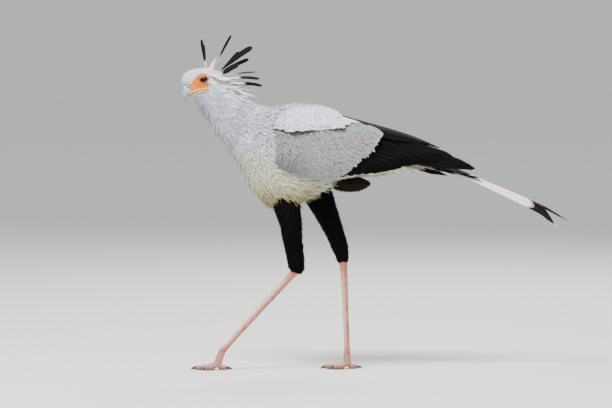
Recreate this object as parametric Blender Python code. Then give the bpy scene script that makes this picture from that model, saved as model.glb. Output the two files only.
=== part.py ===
"""Secretary bird, life size, in mid-stride with both feet on the floor.

Metres, +Z up. The bird faces -X, and its left side is -Y. The origin is on the floor, under the
middle of the whole bird from bill to tail tip. Each named sub-part is one closed solid.
"""
import math

import bmesh
import bpy
import numpy as np
from mathutils import Matrix, Vector
from mathutils.bvhtree import BVHTree

for old_object in list(bpy.data.objects):
    bpy.data.objects.remove(old_object)

# Clearances and fineness
GAP = 0.0003
INFLATE = 0.00036
SHARP_ANGLE = math.radians(40)
BODY_SIDES = 18
HEAD_SIDES = 18
LEG_SIDES = 10
TOE_SIDES = 8
CLAW_SIDES = 6

# Profile rows of the lofts: top x, top z, bottom x, bottom z, half width
TORSO_ROWS = [
    (-0.306, 0.763, -0.423, 0.632, 0.046),
    (-0.270, 0.768, -0.397, 0.580, 0.062),
    (-0.235, 0.775, -0.362, 0.516, 0.077),
    (-0.194, 0.772, -0.304, 0.471, 0.086),
    (-0.154, 0.765, -0.235, 0.479, 0.086),
    (-0.113, 0.745, -0.171, 0.510, 0.080),
    (-0.072, 0.718, -0.113, 0.545, 0.067),
    (-0.032, 0.692, -0.055, 0.560, 0.051),
    (0.009, 0.668, -0.003, 0.560, 0.037),
    (0.044, 0.649, 0.038, 0.568, 0.028),
]
NECK_ROWS = [
    (-0.306, 0.763, -0.423, 0.632, 0.046),
    (-0.340, 0.770, -0.441, 0.661, 0.041),
    (-0.376, 0.785, -0.464, 0.692, 0.036),
    (-0.403, 0.807, -0.484, 0.721, 0.032),
]
HEAD_ROWS = [
    (-0.403, 0.807, -0.484, 0.721, 0.032),
    (-0.426, 0.830, -0.499, 0.742, 0.0295),
    (-0.444, 0.850, -0.512, 0.761, 0.0285),
    (-0.464, 0.867, -0.5255, 0.779, 0.0295),
    (-0.487, 0.8755, -0.535, 0.787, 0.029),
    (-0.513, 0.8755, -0.5385, 0.7905, 0.0265),
    (-0.538, 0.870, -0.5385, 0.802, 0.0225),
    (-0.553, 0.8635, -0.540, 0.8155, 0.0180),
    (-0.5615, 0.854, -0.5455, 0.822, 0.0140),
    (-0.5655, 0.8425, -0.553, 0.825, 0.0090),
    (-0.565, 0.832, -0.5595, 0.827, 0.004),
]
TAIL_ROWS = [
    (0.044, 0.649, 0.038, 0.568, 0.028),
    (0.081, 0.628, 0.081, 0.574, 0.024),
    (0.125, 0.612, 0.125, 0.579, 0.019),
    (0.168, 0.600, 0.168, 0.577, 0.012),
    (0.206, 0.588, 0.203, 0.574, 0.006),
]
VENT_ROWS = [
    (-0.150, 0.562, -0.143, 0.532, 0.020),
    (-0.110, 0.561, -0.106, 0.520, 0.028),
    (-0.072, 0.556, -0.072, 0.518, 0.027),
    (-0.044, 0.549, -0.045, 0.522, 0.018),
    (-0.027, 0.541, -0.028, 0.532, 0.006),
]

# Bill, cere to hooked tip, in the same row form
BILL_ROWS = [
    (-0.533, 0.830, -0.518, 0.807, 0.0125),
    (-0.548, 0.8265, -0.530, 0.8025, 0.0118),
    (-0.5585, 0.822, -0.5395, 0.799, 0.0105),
    (-0.5635, 0.8145, -0.5465, 0.796, 0.009),
    (-0.565, 0.805, -0.5505, 0.793, 0.007),
    (-0.563, 0.794, -0.553, 0.7865, 0.005),
    (-0.559, 0.782, -0.553, 0.779, 0.003),
    (-0.554, 0.7725, -0.5527, 0.7715, 0.001),
]
JAW_ROWS = [
    (-0.512, 0.8105, -0.519, 0.797, 0.0125),
    (-0.526, 0.8035, -0.529, 0.791, 0.0115),
    (-0.538, 0.7985, -0.5395, 0.7895, 0.0095),
    (-0.5455, 0.7955, -0.546, 0.7905, 0.0065),
    (-0.5495, 0.7938, -0.5495, 0.7915, 0.003),
]
NOSTRIL_POINT = (-0.5465, 0.8185)
NOSTRIL_SIDE = 0.0105
NOSTRIL_HALF = (0.005, 0.003, 0.0014)
NOSTRIL_TILT = math.radians(-22)

# Face
EYE_POINT = (-0.501, 0.8415)
EYE_RADIUS = 0.0115
EYE_SIDE = 0.0197
LID_SLANT = math.radians(14)
LID_HALF = (0.0122, 0.0090)
LID_THICK = 0.0024
LID_DEPTH = 0.0078
LID_BEND = 0.0022
GAPE_LINE = [(-0.541, 0.7972), (-0.530, 0.8027), (-0.516, 0.811), (-0.499, 0.8125)]
GAPE_RADIUS = 0.0017
BROW_LINE = [(-0.5175, 0.8535), (-0.508, 0.8575), (-0.497, 0.856), (-0.485, 0.8515)]
BROW_RADIUS = 0.0034
MUZZLE_SIDE = 0.010

# Legs: x, z, half depth fore and aft, half width across
THIGH_LEFT = [
    (-0.262, 0.520, 0.034, 0.018),
    (-0.261, 0.480, 0.039, 0.027),
    (-0.2495, 0.423, 0.032, 0.028),
    (-0.244, 0.374, 0.028, 0.025),
    (-0.238, 0.336, 0.026, 0.022),
    (-0.2335, 0.300, 0.024, 0.019),
]
THIGH_RIGHT = [
    (-0.190, 0.545, 0.040, 0.020),
    (-0.168, 0.500, 0.041, 0.028),
    (-0.146, 0.452, 0.034, 0.029),
    (-0.122, 0.396, 0.027, 0.026),
    (-0.107, 0.354, 0.024, 0.022),
    (-0.100, 0.326, 0.018, 0.018),
]
TARSUS_LEFT = [
    (-0.2335, 0.300, 0.015, 0.013),
    (-0.238, 0.287, 0.0135, 0.012),
    (-0.252, 0.271, 0.010, 0.0095),
    (-0.310, 0.208, 0.0092, 0.0085),
    (-0.390, 0.120, 0.0080, 0.0080),
    (-0.432, 0.073, 0.0080, 0.0085),
    (-0.452, 0.050, 0.0100, 0.0100),
]
TARSUS_RIGHT = [
    (-0.100, 0.326, 0.0150, 0.0135),
    (-0.098, 0.311, 0.0130, 0.0125),
    (-0.096, 0.292, 0.0105, 0.0100),
    (-0.092, 0.210, 0.0090, 0.0085),
    (-0.088, 0.110, 0.0080, 0.0080),
    (-0.0865, 0.060, 0.0082, 0.0085),
    (-0.086, 0.037, 0.0100, 0.0100),
]
HIP_SIDE = 0.036
ANKLE_SIDE = 0.030
FOOT_SIDE = 0.015
HIP_LEVEL = 0.47
ANKLE_LEVEL = 0.30
FOOT_LEFT_X = -0.463
FOOT_RIGHT_X = -0.086
JOINT_HEIGHT = 0.0165
KNUCKLE_DEPTH = (0.0100, 0.0112, 0.0115, 0.008)
KNUCKLE_WIDTH = (0.0100, 0.0118, 0.0120, 0.008)

# Toes: name, heading from straight ahead (degrees, outwards), length, root radius, tip radius
TOES = [
    ("middle", 0, 0.062, 0.0095, 0.0065),
    ("inner", -31, 0.046, 0.0088, 0.0062),
    ("outer", 31, 0.045, 0.0085, 0.0060),
    ("hind", 176, 0.026, 0.0085, 0.0062),
]
CLAW_LENGTH = {"middle": 0.016, "inner": 0.017, "outer": 0.014, "hind": 0.019}
CLAW_CLEARANCE = 0.0011

# Arm and hand of the folded wing, under its feathers: top x, z, bottom x, z, inner y, outer y
WING_ROWS = [
    (-0.297, 0.655, -0.293, 0.606, 0.068, 0.078),
    (-0.279, 0.689, -0.276, 0.581, 0.066, 0.090),
    (-0.238, 0.715, -0.230, 0.570, 0.064, 0.100),
    (-0.180, 0.733, -0.180, 0.558, 0.060, 0.104),
    (-0.130, 0.735, -0.130, 0.552, 0.052, 0.101),
    (-0.085, 0.724, -0.090, 0.580, 0.046, 0.092),
    (-0.045, 0.708, -0.055, 0.612, 0.042, 0.079),
    (-0.012, 0.690, -0.020, 0.642, 0.042, 0.066),
    (0.008, 0.675, 0.004, 0.658, 0.044, 0.055),
]
# Where the feathers lie, out to the wing tip: x, middle z, half height, outer y
WING_FACE = [
    (-0.300, 0.630, 0.060, 0.083),
    (-0.240, 0.642, 0.110, 0.104),
    (-0.180, 0.646, 0.130, 0.109),
    (-0.130, 0.643, 0.135, 0.107),
    (-0.078, 0.645, 0.125, 0.099),
    (-0.020, 0.640, 0.115, 0.086),
    (0.044, 0.632, 0.100, 0.071),
    (0.110, 0.622, 0.085, 0.057),
    (0.183, 0.610, 0.070, 0.047),
    (0.290, 0.584, 0.060, 0.039),
]
WING_ROUNDING = (0.022, 2.2)
ARM_FRONT_X = -0.288

# Covert tips along the lower and rear edge of the grey panel, front first: x, z
COVERT_EDGE = [
    (-0.272, 0.586), (-0.240, 0.574), (-0.190, 0.560), (-0.140, 0.543), (-0.092, 0.570),
    (-0.048, 0.606), (-0.0165, 0.634), (0.006, 0.664), (0.019, 0.683),
]
# Every covert points straight away from here
FAN_APEX = (-0.316, 0.869)
# Tiers, outermost feathers first: count, distance back from the edge, length, width, lift
COVERT_TIERS = [
    (9, 0.000, 0.084, 0.042, 0.0040),
    (6, 0.050, 0.074, 0.046, 0.0054),
    (4, 0.095, 0.064, 0.050, 0.0064),
    (3, 0.135, 0.056, 0.052, 0.0070),
]
COVERT_SINK = 0.012
VANE_TILT = math.radians(9)
VANE_EDGE = 0.00032
VANE_CAMBER = 0.07

# Flight feathers of one wing, top first: tip x, tip z
SECONDARY_TIPS = [
    (0.249, 0.597), (0.200, 0.601), (0.155, 0.600), (0.108, 0.594),
    (0.066, 0.578), (0.026, 0.569), (-0.024, 0.5695), (-0.078, 0.567),
]
SECONDARY_ROOTS = ((-0.035, 0.695), (-0.160, 0.585))
SECONDARY_WIDTH = 0.046
SECONDARY_SINK = 0.020
SECONDARY_LIFT = -0.003
PRIMARY_TIPS = [(0.287, 0.583), (0.264, 0.587), (0.232, 0.588)]
PRIMARY_ROOTS = ((-0.030, 0.660), (-0.050, 0.640))
PRIMARY_ROOT_SIDE = (0.052, 0.056)
PRIMARY_TIP_SIDE = (0.0365, 0.0335)
PRIMARY_BOW = (-0.002, 0.004)
PRIMARY_WIDTH = 0.034
# Tertials over the back: tip x, tip z, tip y
TERTIAL_TIPS = [
    (0.186, 0.642, 0.019), (0.160, 0.654, 0.029), (0.125, 0.6625, 0.038), (0.081, 0.672, 0.047),
]
TERTIAL_ROOTS = ((-0.118, 0.738, 0.025), (-0.085, 0.708, 0.060))
TERTIAL_WIDTH = 0.040
TERTIAL_BOW = (0.008, 0.005)
SCAPULAR_TIPS = [(-0.070, 0.722, 0.052), (-0.108, 0.706, 0.080), (-0.168, 0.702, 0.098)]
SCAPULAR_LENGTH = 0.105
SCAPULAR_WIDTH = 0.050
SCAPULAR_SLOPES = (14, 12, 10)
SCAPULAR_BOW = (0.010, 0.006)

# Tail feathers by pair, middle pair first: tip x, tip z, tip half spacing, width
TAIL_TIPS = [
    (0.310, 0.552, 0.0145, 0.027),
    (0.285, 0.563, 0.0155, 0.028),
    (0.252, 0.5645, 0.0165, 0.029),
    (0.206, 0.563, 0.0175, 0.029),
    (0.176, 0.567, 0.0180, 0.028),
]
TAIL_ROOT = (0.052, 0.618)
TAIL_ROOT_SIDE = 0.011
TAIL_PITCH = 0.0052
TAIL_BOW = 0.006
STREAMER_LEFT = [
    (0.052, 0.627), (0.139, 0.605), (0.229, 0.577), (0.357, 0.522), (0.466, 0.468), (0.527, 0.412),
]
STREAMER_RIGHT = [
    (0.052, 0.629), (0.139, 0.609), (0.229, 0.582), (0.357, 0.5275), (0.480, 0.474), (0.5655, 0.4265),
]
STREAMER_WIDTH = 0.027
STREAMER_SPREAD = 0.003
STREAMER_TWIST = {-1: -1.1, 1: 0.0}
TAIL_ROLL = 0.32

# Plumes of the nape: root x, root z, tip x, tip z, root y, tip y, width, turn of the blade in degrees
CREST = [
    (-0.497, 0.867, -0.509, 0.9585, 0.006, 0.010, 0.010, 20),
    (-0.494, 0.867, -0.503, 0.9455, -0.006, -0.012, 0.010, 20),
    (-0.474, 0.866, -0.4217, 0.9715, 0.006, 0.014, 0.012, 35),
    (-0.485, 0.868, -0.463, 0.908, -0.003, -0.006, 0.013, 30),
    (-0.462, 0.858, -0.361, 0.936, -0.008, -0.022, 0.019, 15),
    (-0.456, 0.852, -0.401, 0.886, -0.014, -0.030, 0.014, 40),
    (-0.457, 0.856, -0.4015, 0.9235, 0.011, 0.027, 0.014, 30),
    (-0.446, 0.842, -0.340, 0.8445, -0.012, -0.026, 0.014, 50),
    (-0.442, 0.830, -0.332, 0.824, -0.013, -0.018, 0.015, 45),
    (-0.440, 0.822, -0.358, 0.8275, 0.013, 0.028, 0.014, 50),
    (-0.434, 0.815, -0.334, 0.8065, 0.004, 0.008, 0.012, 60),
    (-0.458, 0.853, -0.372, 0.901, 0.014, 0.034, 0.015, 45),
    (-0.450, 0.846, -0.352, 0.864, 0.004, 0.006, 0.015, 65),
]
CREST_SAG = 0.06


def make_collection(name):
    group = bpy.data.collections.new(name)
    bpy.context.scene.collection.children.link(group)
    return group


def finish(name, colour, roughness):
    """A plain Principled material with one colour and roughness."""
    material = bpy.data.materials.new(name)
    material.use_nodes = True
    shader = material.node_tree.nodes["Principled BSDF"]
    shader.inputs["Base Color"].default_value = (*colour, 1.0)
    shader.inputs["Roughness"].default_value = roughness
    material.diffuse_color = (*colour, 1.0)
    return material


def smooth_rows(rows, steps):
    """Catmull-Rom curve through every row of numbers, with steps pieces between two rows."""
    table = np.array(rows, float)
    padded = np.vstack([2 * table[0] - table[1], table, 2 * table[-1] - table[-2]])
    out = []
    for i in range(len(table) - 1):
        a, b, c, d = padded[i:i + 4]
        for k in range(steps):
            t = k / steps
            out.append(0.5 * (2 * b + (c - a) * t + (2 * a - 5 * b + 4 * c - d) * t ** 2
                              + (3 * b - 3 * c + d - a) * t ** 3))
    out.append(table[-1])
    return np.array(out)


def solid_from_rings(name, rings, material, group):
    """Closed mesh over an array of rings, each closed by a fan round its own middle."""
    count, sides = rings.shape[:2]
    points = np.vstack([rings.reshape(-1, 3), rings[0].mean(axis=0), rings[-1].mean(axis=0)])
    first_middle = count * sides
    faces = []
    for i in range(count - 1):
        for j in range(sides):
            k = (j + 1) % sides
            low, high = i * sides, (i + 1) * sides
            faces.append((low + j, low + k, high + k, high + j))
    last = (count - 1) * sides
    for j in range(sides):
        k = (j + 1) % sides
        faces.append((first_middle, k, j))
        faces.append((first_middle + 1, last + j, last + k))
    return solid_from_faces(name, points, faces, material, group)


def solid_from_faces(name, points, faces, material, group):
    mesh = bpy.data.meshes.new(name)
    mesh.from_pydata([tuple(point) for point in points], [], faces)
    shape = bmesh.new()
    shape.from_mesh(mesh)
    bmesh.ops.recalc_face_normals(shape, faces=shape.faces)
    shape.to_mesh(mesh)
    shape.free()
    mesh.materials.append(material)
    piece = bpy.data.objects.new(name, mesh)
    group.objects.link(piece)
    return piece


def profile_rings(rows, steps, sides, fullness=0.0):
    """Ellipses whose top and bottom points are the rows' own, and whose half width runs along Y.

    Fullness squares the ellipses off half way along, and not at the two ends.
    """
    table = smooth_rows(rows, steps)
    turn = np.arange(sides) * 2 * math.pi / sides
    power = 1.0 - fullness * np.sin(np.linspace(0.0, math.pi, len(table)))[:, None]
    up = np.sign(np.cos(turn)) * np.abs(np.cos(turn)) ** power
    out = np.sign(np.sin(turn)) * np.abs(np.sin(turn)) ** power
    middle = (table[:, 0:2] + table[:, 2:4]) / 2
    reach = (table[:, 0:2] - table[:, 2:4]) / 2
    flat = middle[:, None, :] + reach[:, None, :] * up[..., None]
    side = table[:, 4, None] * out
    return np.stack([flat[..., 0], side, flat[..., 1]], axis=-1)


def slab_rings(rows, steps, sides, sign):
    """Lens sections between an inner and an outer side, top and bottom as in the rows."""
    table = smooth_rows(rows, steps)
    turn = np.arange(sides) * 2 * math.pi / sides
    middle = (table[:, 0:2] + table[:, 2:4]) / 2
    reach = (table[:, 0:2] - table[:, 2:4]) / 2
    flat = middle[:, None, :] + reach[:, None, :] * np.cos(turn)[None, :, None]
    half = (table[:, 5] - table[:, 4]) / 2
    centre = (table[:, 5] + table[:, 4]) / 2
    side = sign * (centre[:, None] + half[:, None] * np.sin(turn)[None, :])
    return np.stack([flat[..., 0], side, flat[..., 1]], axis=-1)


def tube_rings(points, depth, width, sides):
    """Rings square to a path; depth is the half size in the path's own upright plane, width across it."""
    path = np.array(points, float)
    run = np.gradient(path, axis=0)
    run /= np.linalg.norm(run, axis=1)[:, None]
    across = np.cross(run, (0.0, 0.0, 1.0))
    weak = np.linalg.norm(across, axis=1) < 0.05
    across[weak] = (0.0, 1.0, 0.0)
    across = across * np.sign(across[:, 1] + across[:, 0] * 1e-6)[:, None]
    across /= np.linalg.norm(across, axis=1)[:, None]
    up = np.cross(across, run)
    turn = np.arange(sides) * 2 * math.pi / sides
    depth = np.broadcast_to(np.asarray(depth, float), (len(path),))
    width = np.broadcast_to(np.asarray(width, float), (len(path),))
    return (path[:, None, :]
            + up[:, None, :] * (depth[:, None] * np.cos(turn)[None, :])[..., None]
            + across[:, None, :] * (width[:, None] * np.sin(turn)[None, :])[..., None])


def vane(path, face, width, material, shape, thick=0.0011, twist=0.0, tilt=0.0):
    """A feather as a thin closed blade along a path: cambered across, tapered, pointed at its very tip.

    Each ring has a middle and two edges, each with an upper and a lower point, and the blade's two
    faces are split into triangles alike, so that they never cross where it bends.
    """
    line = np.array(path, float)
    steps = np.linspace(0.0, 0.94, len(shape))
    gone = np.concatenate([[0.0], np.cumsum(np.linalg.norm(np.diff(line, axis=0), axis=1))])
    gone /= gone[-1]
    reach = np.concatenate([steps, [1.0]])
    spots = np.column_stack([np.interp(reach, gone, line[:, k]) for k in range(3)])
    run = np.gradient(spots, axis=0)
    run /= np.linalg.norm(run, axis=1)[:, None]
    points = []
    for i, share in enumerate(steps):
        outward = Vector(face) - Vector(run[i]) * Vector(face).dot(Vector(run[i]))
        outward.normalize()
        across = Vector(run[i]).cross(outward)
        if across.z < 0 or (abs(across.z) < 0.15 and across.y > 0):
            across.negate()
        angle = tilt + twist * share ** 2
        across, outward = (across * math.cos(angle) - outward * math.sin(angle),
                           outward * math.cos(angle) + across * math.sin(angle))
        half = width / 2 * shape[i]
        middle = Vector(spots[i])
        drop_off = VANE_CAMBER * half
        for reach_out, drop, depth in ((-half, drop_off, VANE_EDGE), (0.0, 0.0, thick / 2),
                                       (half, drop_off, VANE_EDGE)):
            base = middle + across * reach_out - outward * drop
            points.append(base + outward * depth)
            points.append(base - outward * depth)
    last = len(points)
    points.append(Vector(spots[-1]))
    left_up, left_low, mid_up, mid_low, right_up, right_low = range(6)
    faces = []
    for i in range(len(steps) - 1):
        a, b = 6 * i, 6 * (i + 1)
        for first, second in ((left_up, mid_up), (mid_up, right_up), (left_low, mid_low),
                              (mid_low, right_low), (left_up, left_low), (right_up, right_low)):
            faces.append((a + first, a + second, b + second))
            faces.append((a + first, b + second, b + first))
    end = 6 * (len(steps) - 1)
    loop = (left_up, mid_up, right_up, right_low, mid_low, left_low)
    for k in range(6):
        faces.append((end + loop[k], end + loop[(k + 1) % 6], last))
    faces.append((left_up, left_low, mid_low))
    faces.append((left_up, mid_low, mid_up))
    faces.append((mid_up, mid_low, right_low))
    faces.append((mid_up, right_low, right_up))
    return solid_from_faces("vane", points, faces, material, bird)


def combine(target, others, operation):
    """One Boolean of the target with other closed pieces, applied; the other pieces are removed."""
    group = bpy.data.collections.new("operands")
    bpy.context.scene.collection.children.link(group)
    for other in others:
        for owner in list(other.users_collection):
            owner.objects.unlink(other)
        group.objects.link(other)
    boolean = target.modifiers.new("combine", "BOOLEAN")
    boolean.operation = operation
    boolean.operand_type = "COLLECTION"
    boolean.collection = group
    boolean.solver = "MANIFOLD"
    view = bpy.context.evaluated_depsgraph_get()
    view.update()
    mesh = bpy.data.meshes.new_from_object(target.evaluated_get(view))
    old = target.data
    target.modifiers.clear()
    target.data = mesh
    bpy.data.meshes.remove(old)
    mesh.name = target.name
    for other in others:
        bpy.data.objects.remove(other)
    bpy.data.collections.remove(group)
    keep_largest(target)


def shell_volume(faces):
    """Signed volume inside a set of triangles or flat faces."""
    total = 0.0
    for face in faces:
        corners = [vert.co for vert in face.verts]
        for k in range(1, len(corners) - 1):
            total += corners[0].dot(corners[k].cross(corners[k + 1])) / 6.0
    return total


def keep_largest(piece):
    """Weld, split into triangles, and keep only the closed surface with the greatest volume."""
    shape = bmesh.new()
    shape.from_mesh(piece.data)
    bmesh.ops.remove_doubles(shape, verts=shape.verts, dist=2e-6)
    bmesh.ops.dissolve_degenerate(shape, edges=shape.edges, dist=2e-6)
    bmesh.ops.triangulate(shape, faces=shape.faces)
    unseen = set(shape.faces)
    shells = []
    while unseen:
        seed = unseen.pop()
        shell, front = [seed], [seed]
        while front:
            face = front.pop()
            for edge in face.edges:
                for near in edge.link_faces:
                    if near in unseen:
                        unseen.remove(near)
                        shell.append(near)
                        front.append(near)
        shells.append(shell)
    shells.sort(key=lambda shell: -abs(shell_volume(shell)))
    for shell in shells[1:]:
        bmesh.ops.delete(shape, geom=shell, context="FACES")
    loose = [vert for vert in shape.verts if not vert.link_faces]
    bmesh.ops.delete(shape, geom=loose, context="VERTS")
    shape.to_mesh(piece.data)
    shape.free()


def inflated(piece):
    """A copy pushed out along its vertex normals, used to cut a neighbour clear of it."""
    copy = bpy.data.objects.new(piece.name + "_clearance", piece.data.copy())
    shape = bmesh.new()
    shape.from_mesh(copy.data)
    shape.normal_update()
    moves = [vert.normal * INFLATE for vert in shape.verts]
    for vert, move in zip(shape.verts, moves):
        vert.co += move
    shape.to_mesh(copy.data)
    shape.free()
    cutters.objects.link(copy)
    return copy


def trim_plane(piece, point, normal):
    """Cut away what lies on the normal's side of a plane and close the cut flat."""
    shape = bmesh.new()
    shape.from_mesh(piece.data)
    everything = list(shape.verts) + list(shape.edges) + list(shape.faces)
    result = bmesh.ops.bisect_plane(shape, geom=everything, dist=1e-6, plane_co=point, plane_no=normal,
                                    clear_outer=True)
    rim = [item for item in result["geom_cut"] if isinstance(item, bmesh.types.BMEdge)]
    bmesh.ops.edgeloop_fill(shape, edges=rim)
    bmesh.ops.recalc_face_normals(shape, faces=shape.faces)
    shape.to_mesh(piece.data)
    shape.free()


def seam_plane(row):
    """Point and normal of the plane through a profile row, the normal pointing towards the tail."""
    top = Vector((row[0], 0.0, row[1]))
    bottom = Vector((row[2], 0.0, row[3]))
    span = (top - bottom).normalized()
    normal = Vector((0.0, 1.0, 0.0)).cross(span)
    if normal.x < 0:
        normal.negate()
    return (top + bottom) / 2, normal


def shorten_first(rings, row, away):
    """Move the first ring off its seam plane by the gap."""
    normal = seam_plane(row)[1]
    rings[0] += np.array(normal) * away
    return rings


def make_torso():
    rings = profile_rings(TORSO_ROWS, 2, BODY_SIDES, 0.16)
    return solid_from_rings("torso", rings, white_feather, bird)


def make_neck():
    rings = shorten_first(profile_rings(NECK_ROWS, 1, BODY_SIDES), NECK_ROWS[0], -GAP)
    solid_from_rings("neck", rings, white_feather, bird)


def eye_centre(sign):
    return Vector((EYE_POINT[0], sign * EYE_SIDE, EYE_POINT[1]))


def make_eyes():
    eyes = []
    for name, sign in (("eye_left", -1), ("eye_right", 1)):
        bpy.ops.mesh.primitive_uv_sphere_add(segments=14, ring_count=8, radius=EYE_RADIUS,
                                             location=eye_centre(sign), rotation=(math.pi / 2, 0, 0))
        eye = bpy.context.object
        eye.name = name
        eye.data.name = name
        for owner in list(eye.users_collection):
            owner.objects.unlink(eye)
        bird.objects.link(eye)
        eye.data.transform(eye.matrix_world)
        eye.matrix_world.identity()
        eye.data.materials.append(eye_dark)
        eyes.append(eye)
    return eyes


def surface_side(tree, x, z, sign):
    """The y where a sideways line at x, z first meets a surface, from the given side."""
    hit = tree.ray_cast(Vector((x, sign * 0.3, z)), Vector((0.0, -sign, 0.0)))[0]
    return hit.y if hit is not None else sign * MUZZLE_SIDE


def tree_of(piece):
    shape = bmesh.new()
    shape.from_mesh(piece.data)
    tree = BVHTree.FromBMesh(shape)
    shape.free()
    return tree


def face_ridge(tree, name, line, radius, sign, proud, material):
    """A tapered ridge laid on the head along a line given in side view."""
    rows = smooth_rows(line, 1)
    path = [(x, surface_side(tree, x, z, sign) + sign * proud, z) for x, z in rows]
    ends = np.sin(np.linspace(0.25, math.pi - 0.25, len(path)))
    return solid_from_rings(name, tube_rings(path, radius * ends, radius * ends, 5), material, bird)


def lid_ring(sign):
    """Almond-shaped lids: a ring round the eye, slanted up towards the nape."""
    turn = np.arange(12) * 2 * math.pi / 12
    tube = np.arange(5) * 2 * math.pi / 5
    rings = []
    for angle in turn:
        radial = np.array((math.cos(angle), 0.0, math.sin(angle)))
        middle = np.array((LID_HALF[0] * math.cos(angle), 0.0, LID_HALF[1] * math.sin(angle)))
        middle[1] = sign * (LID_DEPTH - LID_BEND * math.cos(angle) ** 2)
        outward = np.array((0.0, sign, 0.0))
        rings.append([middle + LID_THICK * (math.cos(a) * radial + math.sin(a) * outward) for a in tube])
    rings = np.array(rings)
    cosine, sine = math.cos(LID_SLANT), math.sin(LID_SLANT)
    x = rings[..., 0] * cosine - rings[..., 2] * sine
    z = rings[..., 0] * sine + rings[..., 2] * cosine
    rings = np.stack([x, rings[..., 1], z], axis=-1) + np.array(eye_centre(sign))
    count, sides = rings.shape[:2]
    faces = []
    for i in range(count):
        for j in range(sides):
            k, n = (j + 1) % sides, (i + 1) % count
            faces.append((i * sides + j, i * sides + k, n * sides + k, n * sides + j))
    return solid_from_faces("lids", rings.reshape(-1, 3), faces, face_skin, bird)


def make_head(eyes):
    rings = shorten_first(profile_rings(HEAD_ROWS, 2, HEAD_SIDES), HEAD_ROWS[0], -GAP)
    head = solid_from_rings("head", rings, white_feather, bird)
    tree = tree_of(head)
    pieces = []
    for sign in (-1, 1):
        pieces.append(lid_ring(sign))
        pieces.append(face_ridge(tree, "gape", GAPE_LINE, GAPE_RADIUS, sign, 0.0006, face_skin))
        pieces.append(face_ridge(tree, "brow", BROW_LINE, BROW_RADIUS, sign, -0.0004, face_skin))
    pieces += crest_pieces()
    combine(head, pieces, "UNION")
    combine(head, [inflated(eye) for eye in eyes], "DIFFERENCE")
    return head


def crest_pieces():
    """The plumes of the nape, each slim at its root and widest near its dark tip."""
    plumes = []
    for root_x, root_z, tip_x, tip_z, root_y, tip_y, width, turn in CREST:
        root = np.array((root_x, root_y, root_z))
        tip = np.array((tip_x, tip_y, tip_z))
        sag = np.array((0.0, 0.0, CREST_SAG * np.linalg.norm(tip - root)))
        path = [root, root * 0.7 + tip * 0.3 + sag * 0.7, root * 0.35 + tip * 0.65 + sag * 0.8, tip]
        side = -1.0 if tip_y < 0 else 1.0
        angle = math.radians(turn)
        face = (0.0, side * math.cos(angle), math.sin(angle))
        plumes.append(vane(path, face, width, dark_feather, thick=0.0010, shape=(0.22, 0.45, 0.85, 0.85)))
    return plumes


def make_bill(head):
    """Upper bill with dented nostrils, and the lower bill, with the head cut clear of both."""
    upper = solid_from_rings("bill_upper", profile_rings(BILL_ROWS, 2, 14), horn, bird)
    slots = []
    for sign in (-1, 1):
        bpy.ops.mesh.primitive_uv_sphere_add(segments=10, ring_count=6, radius=1.0)
        slot = bpy.context.object
        slot.data.transform(nostril_matrix(sign))
        slots.append(slot)
    combine(upper, slots, "DIFFERENCE")
    lower = solid_from_rings("bill_lower", profile_rings(JAW_ROWS, 2, 12), horn, bird)
    combine(lower, [inflated(upper)], "DIFFERENCE")
    combine(head, [inflated(upper), inflated(lower)], "DIFFERENCE")


def nostril_matrix(sign):
    place = Matrix.Translation((NOSTRIL_POINT[0], sign * NOSTRIL_SIDE, NOSTRIL_POINT[1]))
    tilt = Matrix.Rotation(NOSTRIL_TILT, 4, "Y")
    return place @ tilt @ Matrix.Diagonal((*NOSTRIL_HALF, 1.0))


def wing_side(x, z):
    """How far out from the middle plane the folded wing's feathers lie at a place in side view."""
    table = np.array(WING_FACE)
    middle, half, outer = (np.interp(x, table[:, 0], table[:, k]) for k in (1, 2, 3))
    off = min(abs(z - middle) / half, 1.0)
    return outer - WING_ROUNDING[0] * off ** WING_ROUNDING[1]


def along(points, share):
    """The point at a share of the way along a broken line."""
    line = np.array(points, float)
    gone = np.concatenate([[0.0], np.cumsum(np.linalg.norm(np.diff(line, axis=0), axis=1))])
    return np.array([np.interp(share * gone[-1], gone, line[:, k]) for k in range(line.shape[1])])


def laid_path(root, tip, sign, sink, lift, steps):
    """A feather's line over the wing's side, from inside the arm at its root to proud at its tip."""
    path = []
    for share in np.linspace(0.0, 1.0, steps + 1):
        x, z = np.array(root) * (1 - share) + np.array(tip) * share
        out = wing_side(x, z) - sink * (1 - share) ** 1.6 + lift * share
        path.append((x, sign * out, z))
    return path


def covert_pieces(sign):
    """Coverts in tiers over the grey panel, each pointing away from the fan's apex."""
    coverts = []
    for count, back, length, width, lift in COVERT_TIERS:
        for k in range(count):
            edge = along(COVERT_EDGE, (k + 0.5 * (back > 0)) / (count - 1 + (back > 0)))
            heading = edge - np.array(FAN_APEX)
            heading /= np.linalg.norm(heading)
            tip = edge - heading * back
            root = tip - heading * length
            root[0] = max(root[0], ARM_FRONT_X)
            path = laid_path(root, tip, sign, COVERT_SINK, lift, 3)
            coverts.append(vane(path, (0.0, sign, 0.12), width, grey_feather, tilt=VANE_TILT,
                                shape=(0.7, 1.0, 0.8)))
    return coverts


def scapular_pieces(sign):
    scapulars = []
    for (x, z, y), degrees in zip(SCAPULAR_TIPS, SCAPULAR_SLOPES):
        slope = math.radians(degrees)
        root = np.array((x - SCAPULAR_LENGTH * math.cos(slope), sign * max(y - 0.030, 0.02),
                         z + SCAPULAR_LENGTH * math.sin(slope) * 0.6))
        tip = np.array((x, sign * (y + 0.005), z))
        middle = (root + tip) / 2 + np.array((0.0, sign * SCAPULAR_BOW[0], SCAPULAR_BOW[1]))
        scapulars.append(vane([root, middle, tip], (0.0, sign * 0.8, 0.6), SCAPULAR_WIDTH, grey_feather,
                              tilt=VANE_TILT, shape=(0.6, 1.0, 0.75)))
    return scapulars


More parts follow.
